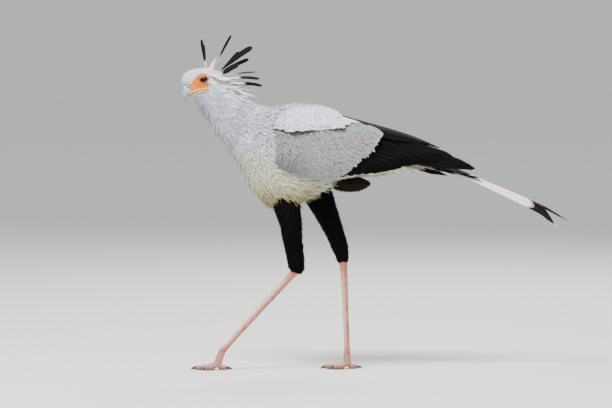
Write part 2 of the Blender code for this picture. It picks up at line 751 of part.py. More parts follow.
def flight_pieces(sign):
    """Secondaries on the wing's side, primaries under them, and tertials over the back."""
    feathers = []
    count = len(SECONDARY_TIPS)
    for k, tip in enumerate(SECONDARY_TIPS):
        share = k / (count - 1)
        root = np.array(SECONDARY_ROOTS[0]) * (1 - share) + np.array(SECONDARY_ROOTS[1]) * share
        path = laid_path(root, tip, sign, SECONDARY_SINK, SECONDARY_LIFT, 4)
        feathers.append(vane(path, (0.0, sign, 0.15), SECONDARY_WIDTH, dark_feather, tilt=VANE_TILT,
                             shape=(0.5, 0.85, 1.0, 0.78)))
    count = len(PRIMARY_TIPS)
    for k, tip in enumerate(PRIMARY_TIPS):
        share = k / (count - 1)
        root = np.array(PRIMARY_ROOTS[0]) * (1 - share) + np.array(PRIMARY_ROOTS[1]) * share
        start = np.array((root[0], sign * np.interp(share, (0, 1), PRIMARY_ROOT_SIDE), root[1]))
        end = np.array((tip[0], sign * np.interp(share, (0, 1), PRIMARY_TIP_SIDE), tip[1]))
        middle = (start + end) / 2 + np.array((0.0, sign * PRIMARY_BOW[0], PRIMARY_BOW[1]))
        feathers.append(vane([start, middle, end], (0.0, sign, 0.1), PRIMARY_WIDTH, dark_feather,
                             tilt=VANE_TILT, shape=(0.6, 0.95, 1.0, 0.75)))
    count = len(TERTIAL_TIPS)
    for k, (x, z, y) in enumerate(TERTIAL_TIPS):
        share = k / (count - 1)
        root = np.array(TERTIAL_ROOTS[0]) * (1 - share) + np.array(TERTIAL_ROOTS[1]) * share
        start = np.array((root[0], sign * root[2], root[1]))
        end = np.array((x, sign * y, z))
        middle = (start + end) / 2 + np.array((0.0, sign * TERTIAL_BOW[0], TERTIAL_BOW[1]))
        feathers.append(vane([start, middle, end], (0.0, sign * 0.55, 0.85), TERTIAL_WIDTH, dark_feather,
                             tilt=VANE_TILT, shape=(0.6, 1.0, 0.95, 0.7)))
    return feathers


def make_wings(torso):
    wings = []
    for name, sign in (("wing_left", -1), ("wing_right", 1)):
        wing = solid_from_rings(name, slab_rings(WING_ROWS, 1, 16, sign), grey_feather, bird)
        combine(wing, flight_pieces(sign) + covert_pieces(sign) + scapular_pieces(sign), "UNION")
        combine(wing, [inflated(torso)], "DIFFERENCE")
        wings.append(wing)
    return wings


def make_tail():
    rings = shorten_first(profile_rings(TAIL_ROWS, 2, BODY_SIDES), TAIL_ROWS[0], GAP)
    tail = solid_from_rings("tail", rings, white_feather, bird)
    combine(tail, tail_pieces(), "UNION")


def tail_pieces():
    """Two long middle feathers over five pairs that shorten outwards, each pair under the one before."""
    feathers = []
    for rank, (x, z, spacing, width) in enumerate(TAIL_TIPS):
        for sign in (-1, 1):
            root = np.array((TAIL_ROOT[0], sign * TAIL_ROOT_SIDE, TAIL_ROOT[1] - TAIL_PITCH * rank))
            tip = np.array((x - 0.004 * (sign > 0), sign * spacing, z))
            middle = (root + tip) / 2 + np.array((0.0, 0.0, TAIL_BOW))
            feathers.append(vane([root, middle, tip], (0.0, TAIL_ROLL * sign, 1.0), width, dark_feather,
                                 shape=(0.5, 1.0, 0.8)))
    for sign, line in ((-1, STREAMER_LEFT), (1, STREAMER_RIGHT)):
        sides = TAIL_ROOT_SIDE + STREAMER_SPREAD * np.linspace(0.0, 1.0, len(line))
        path = [(x, sign * side, z) for (x, z), side in zip(line, sides)]
        feathers.append(vane(path, (0.0, TAIL_ROLL * sign, 1.0), STREAMER_WIDTH, white_feather,
                             twist=STREAMER_TWIST[sign], shape=(0.5, 0.85, 1.0, 1.0, 1.0, 1.0, 0.85)))
    return feathers


def make_thigh(name, rows, sign, blockers):
    """A thigh cut clear of its neighbours and flat at the ankle, with the middle and run of that cut."""
    path_rows = smooth_rows(rows, 1)
    share = np.clip((path_rows[:, 1] - ANKLE_LEVEL) / (HIP_LEVEL - ANKLE_LEVEL), 0.0, 1.0)
    side = sign * (ANKLE_SIDE + (HIP_SIDE - ANKLE_SIDE) * share)
    path = np.column_stack([path_rows[:, 0], side, path_rows[:, 1]])
    rings = tube_rings(path, path_rows[:, 2], path_rows[:, 3], 14)
    thigh = solid_from_rings(name, rings, dark_feather, bird)
    combine(thigh, [inflated(blocker) for blocker in blockers], "DIFFERENCE")
    run = Vector(path[-1] - path[-2]).normalized()
    trim_plane(thigh, Vector(path[-1]) - run * GAP / 2, run)
    return thigh, Vector(path[-1]), run


def make_tarsus(name, rows, sign, top_point, top_run):
    """A shank cut flat at both ends; returns the lower end and the run of its middle line there."""
    table = smooth_rows(rows, 1)
    share = np.linspace(0.0, 1.0, len(table))
    side = sign * (ANKLE_SIDE + (FOOT_SIDE - ANKLE_SIDE) * share)
    path = np.column_stack([table[:, 0], side, table[:, 1]])
    above = path[0] - (path[1] - path[0]) / 2
    path = np.vstack([above, path])
    depth = np.concatenate([table[:1, 2], table[:, 2]])
    width = np.concatenate([table[:1, 3], table[:, 3]])
    tarsus = solid_from_rings(name, tube_rings(path, depth, width, LEG_SIDES), leg_skin, bird)
    trim_plane(tarsus, top_point + top_run * GAP / 2, -top_run)
    run = Vector(path[-1] - path[-2]).normalized()
    end = Vector(path[-1])
    trim_plane(tarsus, end - run * GAP, run)
    return end, run


def toe_path(root, heading, length, lift):
    """A toe's middle line: off the joint, down to the floor, flat, then slightly arched at its end."""
    ahead = np.array((-math.cos(heading), math.sin(heading), 0.0))
    share = np.array((0.0, 0.22, 0.45, 0.70, 0.88, 1.0))
    height = np.array((lift, lift * 0.78, 0.0074, 0.0072, 0.0066, 0.0064))
    rise = np.outer(height, (0, 0, 1))
    return np.array(root) * (1, 1, 0) + ahead * (share * length)[:, None] + rise, ahead


def make_foot(name, side_name, sign, joint_x, end, run):
    """Joint, three front toes and the hind toe, flat underneath where they meet the floor."""
    joint = np.array((joint_x, sign * FOOT_SIDE, JOINT_HEIGHT))
    start = np.array(end - run * 0.004)
    knuckle = np.array([start, start * 0.5 + joint * 0.5, joint, joint + np.array(run) * 0.006])
    rings = tube_rings(knuckle, KNUCKLE_DEPTH, KNUCKLE_WIDTH, TOE_SIDES)
    foot = solid_from_rings(name, rings, leg_skin, bird)
    toes, claws = [], []
    for toe_name, degrees, length, root_size, tip_size in TOES:
        heading = math.radians(degrees) * sign
        path, ahead = toe_path(joint, heading, length, JOINT_HEIGHT)
        swell = np.array((1.0, 0.93, 1.06, 0.92, 1.04, 0.80))
        size = np.linspace(root_size, tip_size, len(path)) * swell
        toe = solid_from_rings("toe", tube_rings(path, size, size * 1.08, TOE_SIDES), leg_skin, bird)
        tip = Vector(path[-1])
        toes.append(toe)
        claws.append((f"claw_{side_name}_{toe_name}", tip, Vector(ahead), tip_size * 0.78,
                      CLAW_LENGTH[toe_name]))
    combine(foot, toes, "UNION")
    trim_plane(foot, end, -run)
    trim_plane(foot, Vector((0.0, 0.0, 0.0)), Vector((0.0, 0.0, -1.0)))
    for claw in claws:
        make_claw(*claw)


def make_claw(name, tip, ahead, radius, length):
    """A claw off the toe's end, curving down to just above the floor."""
    share = np.array((0.0, 0.3, 0.6, 0.85, 1.0))
    drop = np.array((0.0, 0.0002, 0.0016, 0.0042, 0.0062))
    start = np.array(tip + ahead * GAP)
    path = start + np.outer(share * length, np.array(ahead)) - np.outer(drop, (0.0, 0.0, 1.0))
    path[:, 2] = np.maximum(path[:, 2], CLAW_CLEARANCE)
    size = radius * np.array((1.0, 0.92, 0.68, 0.38, 0.10))
    rings = tube_rings(path, size, size * 0.8, CLAW_SIDES)
    rings[0] += (np.array(ahead) * ((start - rings[0]) @ np.array(ahead))[:, None])
    return solid_from_rings(name, rings, claw_dark, bird)


def make_vent(torso, thighs):
    vent = solid_from_rings("vent_feathers", profile_rings(VENT_ROWS, 2, 14), dark_feather, bird)
    combine(vent, [inflated(torso)] + [inflated(thigh) for thigh in thighs], "DIFFERENCE")


bird = make_collection("secretary_bird")
cutters = make_collection("cutters")

white_feather = finish("white_feather", (0.80, 0.79, 0.78), 0.85)
grey_feather = finish("grey_feather", (0.52, 0.53, 0.56), 0.85)
dark_feather = finish("dark_feather", (0.02, 0.02, 0.022), 0.75)
face_skin = finish("face_skin", (0.86, 0.35, 0.09), 0.55)
leg_skin = finish("leg_skin", (0.72, 0.50, 0.47), 0.60)
horn = finish("horn", (0.55, 0.60, 0.66), 0.35)
claw_dark = finish("claw_dark", (0.03, 0.028, 0.027), 0.40)
eye_dark = finish("eye_dark", (0.03, 0.02, 0.015), 0.08)

torso = make_torso()
make_neck()
eyes = make_eyes()
head = make_head(eyes)
make_bill(head)
wings = make_wings(torso)
make_tail()
left_thigh, left_top, left_run = make_thigh("thigh_left", THIGH_LEFT, -1, [torso, wings[0]])
right_thigh, right_top, right_run = make_thigh("thigh_right", THIGH_RIGHT, 1, [torso, wings[1]])
make_vent(torso, [left_thigh, right_thigh])
left_end, left_down = make_tarsus("tarsus_left", TARSUS_LEFT, -1, left_top, left_run)
right_end, right_down = make_tarsus("tarsus_right", TARSUS_RIGHT, 1, right_top, right_run)
make_foot("foot_left", "left", -1, FOOT_LEFT_X, left_end, left_down)
make_foot("foot_right", "right", 1, FOOT_RIGHT_X, right_end, right_down)
for piece in bird.objects:
    piece.data.shade_smooth()
    piece.data.set_sharp_from_angle(angle=SHARP_ANGLE)
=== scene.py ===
"""Secretary bird, life size: skin, plumage, bill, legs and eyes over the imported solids.

Metres, +Z up. The bird faces -X and its left side is -Y, towards the camera. Every surface is a grid
of points worked out from the named sizes below, and every feather is a thin closed blade.
"""

import math

import bpy
import numpy as np
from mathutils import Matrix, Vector


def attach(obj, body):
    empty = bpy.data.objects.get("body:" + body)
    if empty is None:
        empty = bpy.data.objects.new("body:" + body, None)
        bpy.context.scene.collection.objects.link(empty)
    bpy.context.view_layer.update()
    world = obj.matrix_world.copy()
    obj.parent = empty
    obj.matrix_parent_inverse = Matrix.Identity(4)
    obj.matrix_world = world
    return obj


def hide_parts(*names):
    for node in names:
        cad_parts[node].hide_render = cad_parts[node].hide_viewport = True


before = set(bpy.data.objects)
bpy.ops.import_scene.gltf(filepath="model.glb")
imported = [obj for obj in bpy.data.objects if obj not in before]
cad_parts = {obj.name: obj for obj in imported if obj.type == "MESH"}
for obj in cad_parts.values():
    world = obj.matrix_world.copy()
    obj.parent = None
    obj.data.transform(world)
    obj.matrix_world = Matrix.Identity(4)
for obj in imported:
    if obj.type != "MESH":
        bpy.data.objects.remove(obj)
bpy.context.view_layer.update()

# Body from the lores to the tail: top x, top z, bottom x, bottom z, half width, coat depth, feather length,
# feather width, squareness; then rings from each row to the next, and points round each ring
BODY_ROWS = [
    (-0.5650, 0.8320, -0.5595, 0.8270, 0.0040, 0.0005, 0.0045, 0.0017, 0.00),
    (-0.5655, 0.8425, -0.5530, 0.8250, 0.0090, 0.0008, 0.0055, 0.0018, 0.00),
    (-0.5615, 0.8540, -0.5455, 0.8220, 0.0140, 0.0012, 0.0065, 0.0020, 0.00),
    (-0.5530, 0.8635, -0.5400, 0.8155, 0.0180, 0.0016, 0.0075, 0.0022, 0.00),
    (-0.5380, 0.8700, -0.5385, 0.8020, 0.0225, 0.0019, 0.0090, 0.0024, 0.00),
    (-0.5130, 0.8755, -0.5385, 0.7905, 0.0265, 0.0022, 0.0105, 0.0026, 0.00),
    (-0.4870, 0.8755, -0.5350, 0.7870, 0.0290, 0.0026, 0.0125, 0.0028, 0.00),
    (-0.4640, 0.8670, -0.5255, 0.7790, 0.0295, 0.0032, 0.0160, 0.0032, 0.00),
    (-0.4440, 0.8500, -0.5120, 0.7610, 0.0285, 0.0040, 0.0200, 0.0036, 0.00),
    (-0.4260, 0.8300, -0.4990, 0.7420, 0.0295, 0.0046, 0.0240, 0.0040, 0.00),
    (-0.4030, 0.8070, -0.4840, 0.7210, 0.0320, 0.0054, 0.0270, 0.0044, 0.00),
    (-0.3760, 0.7850, -0.4640, 0.6920, 0.0360, 0.0062, 0.0290, 0.0050, 0.00),
    (-0.3400, 0.7700, -0.4410, 0.6610, 0.0410, 0.0070, 0.0290, 0.0056, 0.00),
    (-0.3060, 0.7630, -0.4230, 0.6320, 0.0460, 0.0078, 0.0290, 0.0062, 0.00),
    (-0.2700, 0.7680, -0.3970, 0.5800, 0.0620, 0.0085, 0.0290, 0.0068, 0.05),
    (-0.2350, 0.7750, -0.3620, 0.5160, 0.0770, 0.0090, 0.0290, 0.0074, 0.10),
    (-0.1940, 0.7720, -0.3040, 0.4710, 0.0860, 0.0090, 0.0300, 0.0078, 0.14),
    (-0.1540, 0.7650, -0.2350, 0.4790, 0.0860, 0.0090, 0.0310, 0.0080, 0.16),
    (-0.1130, 0.7450, -0.1710, 0.5100, 0.0800, 0.0090, 0.0330, 0.0080, 0.16),
    (-0.0720, 0.7180, -0.1130, 0.5450, 0.0670, 0.0085, 0.0360, 0.0080, 0.14),
    (-0.0320, 0.6920, -0.0550, 0.5600, 0.0510, 0.0080, 0.0420, 0.0085, 0.10),
    (0.0090, 0.6680, -0.0030, 0.5600, 0.0370, 0.0070, 0.0500, 0.0095, 0.05),
    (0.0440, 0.6490, 0.0380, 0.5680, 0.0280, 0.0060, 0.0560, 0.0105, 0.00),
    (0.0810, 0.6280, 0.0810, 0.5740, 0.0240, 0.0050, 0.0560, 0.0110, 0.00),
    (0.1250, 0.6120, 0.1250, 0.5790, 0.0190, 0.0040, 0.0500, 0.0100, 0.00),
    (0.1680, 0.6000, 0.1680, 0.5770, 0.0120, 0.0030, 0.0300, 0.0080, 0.00),
    (0.2060, 0.5880, 0.2030, 0.5740, 0.0060, 0.0020, 0.0200, 0.0060, 0.00),
]
BODY_FINENESS = (12, 14, 16, 22, 34, 34, 30, 32, 30, 24, 22, 20, 18) + (14,) * 13
BODY_SIDES = 224
DEPTH, LENGTH, WIDTH, SQUARENESS = 5, 6, 7, 8
NECK_ROW, TORSO_ROW, BELLY_ROW, TAIL_ROW, RUMP_END_ROW = 9.0, 13.6, 17.0, 20.0, 24.6

# Thighs and shanks: x, z, half depth, half width; then the side of the hip, ankle and foot
THIGH_ROWS = {
    "left": [(-0.262, 0.520, 0.034, 0.018), (-0.261, 0.480, 0.039, 0.027), (-0.2495, 0.423, 0.032, 0.028),
             (-0.244, 0.374, 0.028, 0.025), (-0.238, 0.336, 0.026, 0.022), (-0.2335, 0.300, 0.024, 0.019)],
    "right": [(-0.190, 0.545, 0.040, 0.020), (-0.168, 0.500, 0.041, 0.028), (-0.146, 0.452, 0.034, 0.029),
              (-0.122, 0.396, 0.027, 0.026), (-0.107, 0.354, 0.024, 0.022), (-0.100, 0.326, 0.018, 0.018)],
}
THIGH_END = (0.0182, 0.0172)
THIGH_COAT = 0.0045
TARSUS_ROWS = {
    "left": [(-0.2335, 0.300, 0.0150, 0.0130), (-0.2380, 0.287, 0.0135, 0.0120),
             (-0.2520, 0.271, 0.0100, 0.0095), (-0.3100, 0.208, 0.0092, 0.0085),
             (-0.3900, 0.120, 0.0080, 0.0080), (-0.4320, 0.073, 0.0080, 0.0085),
             (-0.4520, 0.050, 0.0100, 0.0100)],
    "right": [(-0.1000, 0.326, 0.0150, 0.0135), (-0.0980, 0.311, 0.0130, 0.0125),
              (-0.0960, 0.292, 0.0105, 0.0100), (-0.0920, 0.210, 0.0090, 0.0085),
              (-0.0880, 0.110, 0.0080, 0.0080), (-0.0865, 0.060, 0.0082, 0.0085),
              (-0.0860, 0.037, 0.0100, 0.0100)],
}
SIDES = {"left": -1.0, "right": 1.0}
FOOT_X = {"left": -0.463, "right": -0.086}
HIP_SIDE, ANKLE_SIDE, FOOT_SIDE = 0.036, 0.030, 0.015
HIP_LEVEL, ANKLE_LEVEL = 0.47, 0.30
JOINT_HEIGHT = 0.0165
SCUTE_PITCH, SCUTE_RISE = 0.0058, 0.00075
SHANK_RINGS = 440
# Toes: name, heading in degrees outwards, length, root radius, tip radius, claw length; then, by the share
# of a toe's length, the height of its middle line and the swell of its pads
TOES = [("middle", 0, 0.062, 0.0095, 0.0065, 0.016), ("inner", -31, 0.046, 0.0088, 0.0062, 0.017),
        ("outer", 31, 0.045, 0.0085, 0.0060, 0.014), ("hind", 176, 0.026, 0.0085, 0.0062, 0.019)]
TOE_SHARES = (0.0, 0.22, 0.45, 0.70, 0.88, 1.0)
TOE_HEIGHTS = (JOINT_HEIGHT, JOINT_HEIGHT * 0.78, 0.0074, 0.0072, 0.0066, 0.0064)
TOE_SWELL = (1.0, 0.93, 1.06, 0.92, 1.04, 0.80)
CLAW_DROP = 0.0062
# Dark lobe under the tail, in the body's row form
VENT_ROWS = [(-0.150, 0.562, -0.143, 0.532, 0.020), (-0.110, 0.561, -0.106, 0.520, 0.028),
             (-0.072, 0.556, -0.072, 0.518, 0.027), (-0.044, 0.549, -0.045, 0.522, 0.018),
             (-0.027, 0.541, -0.028, 0.532, 0.006), (-0.0225, 0.5375, -0.0230, 0.5350, 0.0015)]

# Bill in the same row form, and the lines of the face in side view
BILL_ROWS = [(-0.533, 0.830, -0.518, 0.807, 0.0125), (-0.548, 0.8265, -0.530, 0.8025, 0.0118),
             (-0.5585, 0.822, -0.5395, 0.799, 0.0105), (-0.5635, 0.8145, -0.5465, 0.796, 0.009),
             (-0.565, 0.805, -0.5505, 0.793, 0.007), (-0.563, 0.794, -0.553, 0.7865, 0.005),
             (-0.559, 0.782, -0.553, 0.779, 0.003), (-0.554, 0.7725, -0.5527, 0.7715, 0.001)]
JAW_ROWS = [(-0.512, 0.8105, -0.519, 0.797, 0.0125), (-0.526, 0.8035, -0.529, 0.791, 0.0115),
            (-0.538, 0.7985, -0.5395, 0.7895, 0.0095), (-0.5455, 0.7955, -0.546, 0.7905, 0.0065),
            (-0.5495, 0.7938, -0.5495, 0.7915, 0.003)]
NOSTRIL = (-0.5465, 0.8185)
NOSTRIL_HALF = (0.0050, 0.0015)
NOSTRIL_TILT = math.radians(20)
EYE = (-0.501, 0.8415)
EYE_RADIUS, EYE_SIDE = 0.0115, 0.0197
LID_SLANT = math.radians(14)
LID_HALF = (0.0116, 0.0090)
LID_OUT, LID_BEND, LID_THICK = 0.0086, 0.0026, 0.0025
SOCKET_HALF = (0.0145, 0.0120)
LID_STEPS, LID_SIDES = 120, 24
LASHES = 17
GAPE_LINE = [(-0.545, 0.7955), (-0.530, 0.8027), (-0.516, 0.8090), (-0.499, 0.8120), (-0.489, 0.8135)]
BROW_LINE = [(-0.5175, 0.8520), (-0.508, 0.8565), (-0.497, 0.8565), (-0.487, 0.8530)]
FACE_EDGE = [(-0.5440, 0.7985), (-0.5425, 0.8330), (-0.5350, 0.8440), (-0.5225, 0.8545), (-0.5090, 0.8600),
             (-0.4960, 0.8595), (-0.4865, 0.8545), (-0.4855, 0.8380), (-0.4870, 0.8210), (-0.4885, 0.8110),
             (-0.5000, 0.8075), (-0.5160, 0.8040), (-0.5300, 0.7975)]
EYE_STREAK = [(-0.4890, 0.8585), (-0.4795, 0.8555), (-0.4640, 0.8460), (-0.4780, 0.8485), (-0.4880, 0.8500)]
# Relief: half width and height of the brow's ridge; offset, half width and height of the gape's two ridges;
# half width and depth of its groove; pitch and height of the folds round the eye
BROW_RIDGE, GAPE_RIDGES, GAPE_GROOVE = (0.0026, 0.0016), (0.0034, 0.0017, 0.0013), (0.0016, 0.0013)
EYE_FOLDS = (0.0026, 0.00022)
# Strongest orange of the face: middle x, z, reach in x, z, strength
ORANGE_SPOTS = [(-0.5125, 0.8390, 0.0125, 0.0125, 1.6), (-0.4980, 0.8250, 0.0130, 0.0060, 1.2)]

# Cloak of the folded wings and shoulders over the body: x, top z, lower edge z, half width
CLOAK_ROWS = [
    (-0.310, 0.700, 0.600, 0.052), (-0.298, 0.725, 0.588, 0.079), (-0.275, 0.748, 0.576, 0.095),
    (-0.240, 0.764, 0.568, 0.104), (-0.200, 0.766, 0.559, 0.108), (-0.150, 0.760, 0.545, 0.107),
    (-0.100, 0.744, 0.547, 0.102), (-0.050, 0.734, 0.556, 0.093), (0.000, 0.716, 0.562, 0.082),
    (0.050, 0.698, 0.566, 0.071), (0.110, 0.676, 0.580, 0.058), (0.170, 0.648, 0.582, 0.048),
    (0.230, 0.622, 0.576, 0.043), (0.300, 0.600, 0.566, 0.038),
]
CLOAK_STEPS, CLOAK_SIDES = 10, 240
CLOAK_POWERS = (0.80, 0.62)
SIDE_SHARE, LIP_SHARE, LIP_REACH, TUCK = 0.45, 0.85, 1.12, 0.16
ARM_ENDS = (-0.296, 0.03)
ARM_SIDES = 40
CLOAK_FRONT = -0.304
RIDGE_GAP = 0.012
FAN_APEX = (-0.316, 0.869)
COVERT_EDGE = [(-0.285, 0.589), (-0.240, 0.572), (-0.190, 0.559), (-0.140, 0.543), (-0.092, 0.570),
               (-0.048, 0.606), (-0.0165, 0.634), (0.006, 0.664), (0.019, 0.683)]
COVERT_PATCH = [(-0.293, 0.600), (-0.285, 0.587), (-0.240, 0.571), (-0.190, 0.557), (-0.140, 0.541),
                (-0.094, 0.567), (-0.050, 0.603), (-0.018, 0.631), (0.005, 0.661), (0.018, 0.680),
                (0.000, 0.693), (-0.046, 0.7105), (-0.093, 0.712), (-0.145, 0.712), (-0.194, 0.705),
                (-0.234, 0.698), (-0.265, 0.705), (-0.288, 0.700)]
FOLD_LINE = [(-0.300, 0.712), (-0.287, 0.703), (-0.265, 0.696), (-0.234, 0.686), (-0.194, 0.695),
             (-0.145, 0.701), (-0.093, 0.699), (-0.060, 0.706)]
MANTLE_PATCH = FOLD_LINE + [(-0.046, 0.712), (-0.081, 0.728), (-0.107, 0.7453), (-0.128, 0.790),
                            (-0.320, 0.790)]
COVERT_SPACING, SCAPULAR_SPACING = 0.0083, 0.0093
COVERT_FRINGE = 150
# Flight feathers: tips and the ends of the line of roots in side view; for the tertials with the side
SECONDARY_TIPS = [(0.249, 0.597), (0.200, 0.603), (0.155, 0.605), (0.108, 0.601), (0.066, 0.589),
                  (0.026, 0.582), (-0.024, 0.582), (-0.078, 0.580)]
SECONDARY_ROOTS = [(-0.035, 0.695), (-0.160, 0.585)]
PRIMARY_TIPS = [(0.287, 0.583), (0.264, 0.587), (0.232, 0.588)]
PRIMARY_ROOTS = [(-0.030, 0.660), (-0.050, 0.640)]
TERTIAL_TIPS = [(0.186, 0.642, 0.012), (0.160, 0.654, 0.024), (0.125, 0.6625, 0.036), (0.081, 0.672, 0.047)]
TERTIAL_ROOTS = [(-0.125, 0.742, 0.014), (-0.085, 0.708, 0.060)]
SECONDARIES, PRIMARIES, TERTIALS = 14, 6, 10
SECONDARY_WIDTH, PRIMARY_WIDTH, TERTIAL_WIDTH = 0.038, 0.030, 0.034

# Tail feathers by pair: tip x, tip z, tip half spacing, width; then the two long middle feathers
TAIL_TIPS = [(0.310, 0.552, 0.0145, 0.027), (0.285, 0.563, 0.0155, 0.028), (0.252, 0.5645, 0.0165, 0.029),
             (0.206, 0.563, 0.0175, 0.029), (0.176, 0.567, 0.0180, 0.028)]
TAIL_ROOT = (0.052, 0.618)
STREAMERS = {
    "left": [(0.052, 0.627), (0.139, 0.605), (0.229, 0.577), (0.357, 0.522), (0.466, 0.468), (0.527, 0.412)],
    "right": [(0.052, 0.629), (0.139, 0.609), (0.229, 0.582), (0.357, 0.5275), (0.480, 0.474),
              (0.5655, 0.4265)],
}
STREAMER_WIDTH = 0.026
STREAMER_TWIST = {"left": -1.1, "right": 0.0}
TAIL_ROLL = 0.32

# Plumes of the nape: root x, z, tip x, z, root y, tip y, width, blade turn in degrees, share where dark
# begins (over 1 for a white lancet), share where the blade is full
CREST = [
    (-0.497, 0.867, -0.509, 0.9585, 0.006, 0.010, 0.0080, 52, 0.22, 0.75),
    (-0.494, 0.867, -0.503, 0.9455, -0.006, -0.012, 0.0080, 50, 0.28, 0.75),
    (-0.474, 0.866, -0.4217, 0.9715, 0.006, 0.014, 0.0095, 60, 0.34, 0.75),
    (-0.485, 0.864, -0.463, 0.908, -0.003, -0.006, 0.0130, 10, 1.40, 0.10),
    (-0.462, 0.858, -0.361, 0.936, -0.008, -0.022, 0.0155, 12, 0.05, 0.55),
    (-0.456, 0.852, -0.401, 0.886, -0.014, -0.030, 0.0150, 15, 0.12, 0.40),
    (-0.457, 0.856, -0.4015, 0.9235, 0.011, 0.027, 0.0080, 50, 0.50, 0.80),
    (-0.446, 0.842, -0.340, 0.8445, -0.012, -0.026, 0.0110, 42, 0.42, 0.70),
    (-0.442, 0.830, -0.332, 0.824, -0.013, -0.018, 0.0110, 40, 0.50, 0.72),
    (-0.440, 0.822, -0.358, 0.8275, 0.013, 0.028, 0.0110, 42, 0.55, 0.70),
    (-0.434, 0.815, -0.334, 0.8065, -0.006, -0.010, 0.0120, 20, 1.40, 0.35),
    (-0.428, 0.806, -0.345, 0.7900, -0.012, -0.016, 0.0110, 20, 1.40, 0.35),
    (-0.458, 0.853, -0.372, 0.901, 0.014, 0.034, 0.0130, 35, 0.30, 0.60),
    (-0.450, 0.846, -0.352, 0.864, 0.004, 0.006, 0.0110, 70, 0.45, 0.70),
]

# Points across a blade, from one rim to the other
POINTED = (-1.0, 0.0, 1.0)
ROUNDED = (-1.0, -0.5, 0.0, 0.5, 1.0)
SHAFTED = (-1.0, -0.6, -0.1, 0.0, 0.1, 0.6, 1.0)
WIDE = (-1.0, -0.72, -0.4, -0.06, 0.0, 0.06, 0.4, 0.72, 1.0)
# Stations along a blade, from its root to its tip
DARK_STATIONS, LOOSE_STATIONS, COVERT_STATIONS = 6, 10, 10
FLIGHT_STATIONS, TAIL_STATIONS, PLUME_STATIONS, STREAMER_STATIONS = 26, 28, 56, 60
ROUNDNESS = 0.35
SMALL_BLADE = {"round_tip": 0.05, "jag": 0.10, "camber": 0.12, "shaft": 0.0002, "thick": 0.0004, "soft": 0.7}
LARGE_BLADE = {"round_tip": 0.05, "jag": 0.025, "camber": 0.10, "shaft": 0.0006, "thick": 0.0006}

# Zones of the body's coat: name, first and last row, feathers deep, stations, shagginess, stray, columns
COAT_ZONES = [
    ("head_feathers", 0.0, NECK_ROW, 9.8, 5, 0.0004, 0.10, POINTED),
    ("neck_feathers", NECK_ROW, TORSO_ROW, 10.5, 6, 0.0040, 0.11, POINTED),
    ("breast_feathers", TORSO_ROW, BELLY_ROW, 6.5, 6, 0.0030, 0.17, POINTED),
    ("belly_feathers", BELLY_ROW, TAIL_ROW, 7.0, 6, 0.0040, 0.17, POINTED),
    ("tail_covert_feathers", TAIL_ROW, RUMP_END_ROW, 7.0, 7, 0.0040, 0.10, ROUNDED),
]
# Loose feathers: counts, and the rows between which they root
THROAT_STRANDS, THROAT_ROWS = 640, (6.3, 12.8)
NAPE_HACKLES, HACKLE_ROWS = 190, (6.6, 12.0)
# Flanks, then the fringe of the belly: count, first and last row, least and most turn from the bottom as
# shares of the way round, drop, shortest, longest
FLANK_LOTS = [(420, 15.2, 18.3, 0.04, 0.19, -0.25, 0.030, 0.052),
              (380, 15.2, 16.8, 0.00, 0.17, -1.50, 0.026, 0.046)]
BAKE_PATCH = 0.003

# Photograph's frame: width seen at the bird's middle plane, middle of the view, camera's rise and distance
VIEW_WIDTH = 1.7748
VIEW_MIDDLE = (-0.2059, 0.0, 0.4814)
VIEW_RISE = math.radians(3.0)
VIEW_DISTANCE = 9.0
SENSOR = 36.0
# Studio: lamps by name, place, size and watts; floor colours near and far, half length; sky colour, strength
LAMPS = [("key", (-1.5, -2.2, 4.8), 1.8, 620.0), ("fill", (3.0, -2.6, 1.8), 2.4, 60.0),
         ("back", (0.8, 3.2, 3.6), 2.4, 200.0)]
FLOOR_NEAR, FLOOR_FAR, FLOOR_HALF = (0.66, 0.66, 0.65, 1.0), (0.99, 0.99, 0.99, 1.0), 40.0
SKY_COLOUR, SKY_STRENGTH = (0.86, 0.87, 0.88, 1.0), 0.68

random = np.random.default_rng(7)


# Numbers
def curve(rows, spots):
    """Catmull-Rom curve through every row of numbers, read at spots that count rows from the first."""
    table = np.array(rows, float)
    padded = np.vstack([2 * table[0] - table[1], table, 2 * table[-1] - table[-2]])
    first = np.clip(np.floor(spots).astype(int), 0, len(table) - 2)
    t = (spots - first)[:, None]
    a, b, c, d = (padded[first + k] for k in range(4))
    square, cube = 2 * a - 5 * b + 4 * c - d, 3 * b - 3 * c + d - a
    return 0.5 * (2 * b + (c - a) * t + square * t ** 2 + cube * t ** 3)


def smooth(rows, steps):
    """The curve through the rows with the same number of steps between any two."""
    return curve(rows, np.arange((len(rows) - 1) * steps + 1) / steps)


def fade(value, low, high):
    """0 at low, 1 at high, and a smooth S between."""
    t = np.clip((value - low) / (high - low), 0.0, 1.0)
    return t * t * (3 - 2 * t)


def unit(vectors):
    """Each vector over its own length."""
    return vectors / np.maximum(np.linalg.norm(vectors, axis=-1, keepdims=True), 1e-12)


def along(points, share):
    """Points at shares of the way along a broken line, by its length."""
    line = np.array(points, float)
    gone = np.concatenate([[0.0], np.cumsum(np.linalg.norm(np.diff(line, axis=0), axis=1))])
    spots = np.asarray(share) * gone[-1]
    return np.stack([np.interp(spots, gone, line[:, k]) for k in range(line.shape[1])], axis=-1)


def line_distance(x, z, corners):
    """Least distance in side view from each point to a broken line: to the nearest spot of each stretch."""
    least = np.full(np.shape(x), 9.0)
    for (ax, az), (bx, bz) in zip(corners[:-1], corners[1:]):
        t = np.clip(((x - ax) * (bx - ax) + (z - az) * (bz - az)) / ((bx - ax) ** 2 + (bz - az) ** 2), 0, 1)
        least = np.minimum(least, np.hypot(x - ax - t * (bx - ax), z - az - t * (bz - az)))
    return least


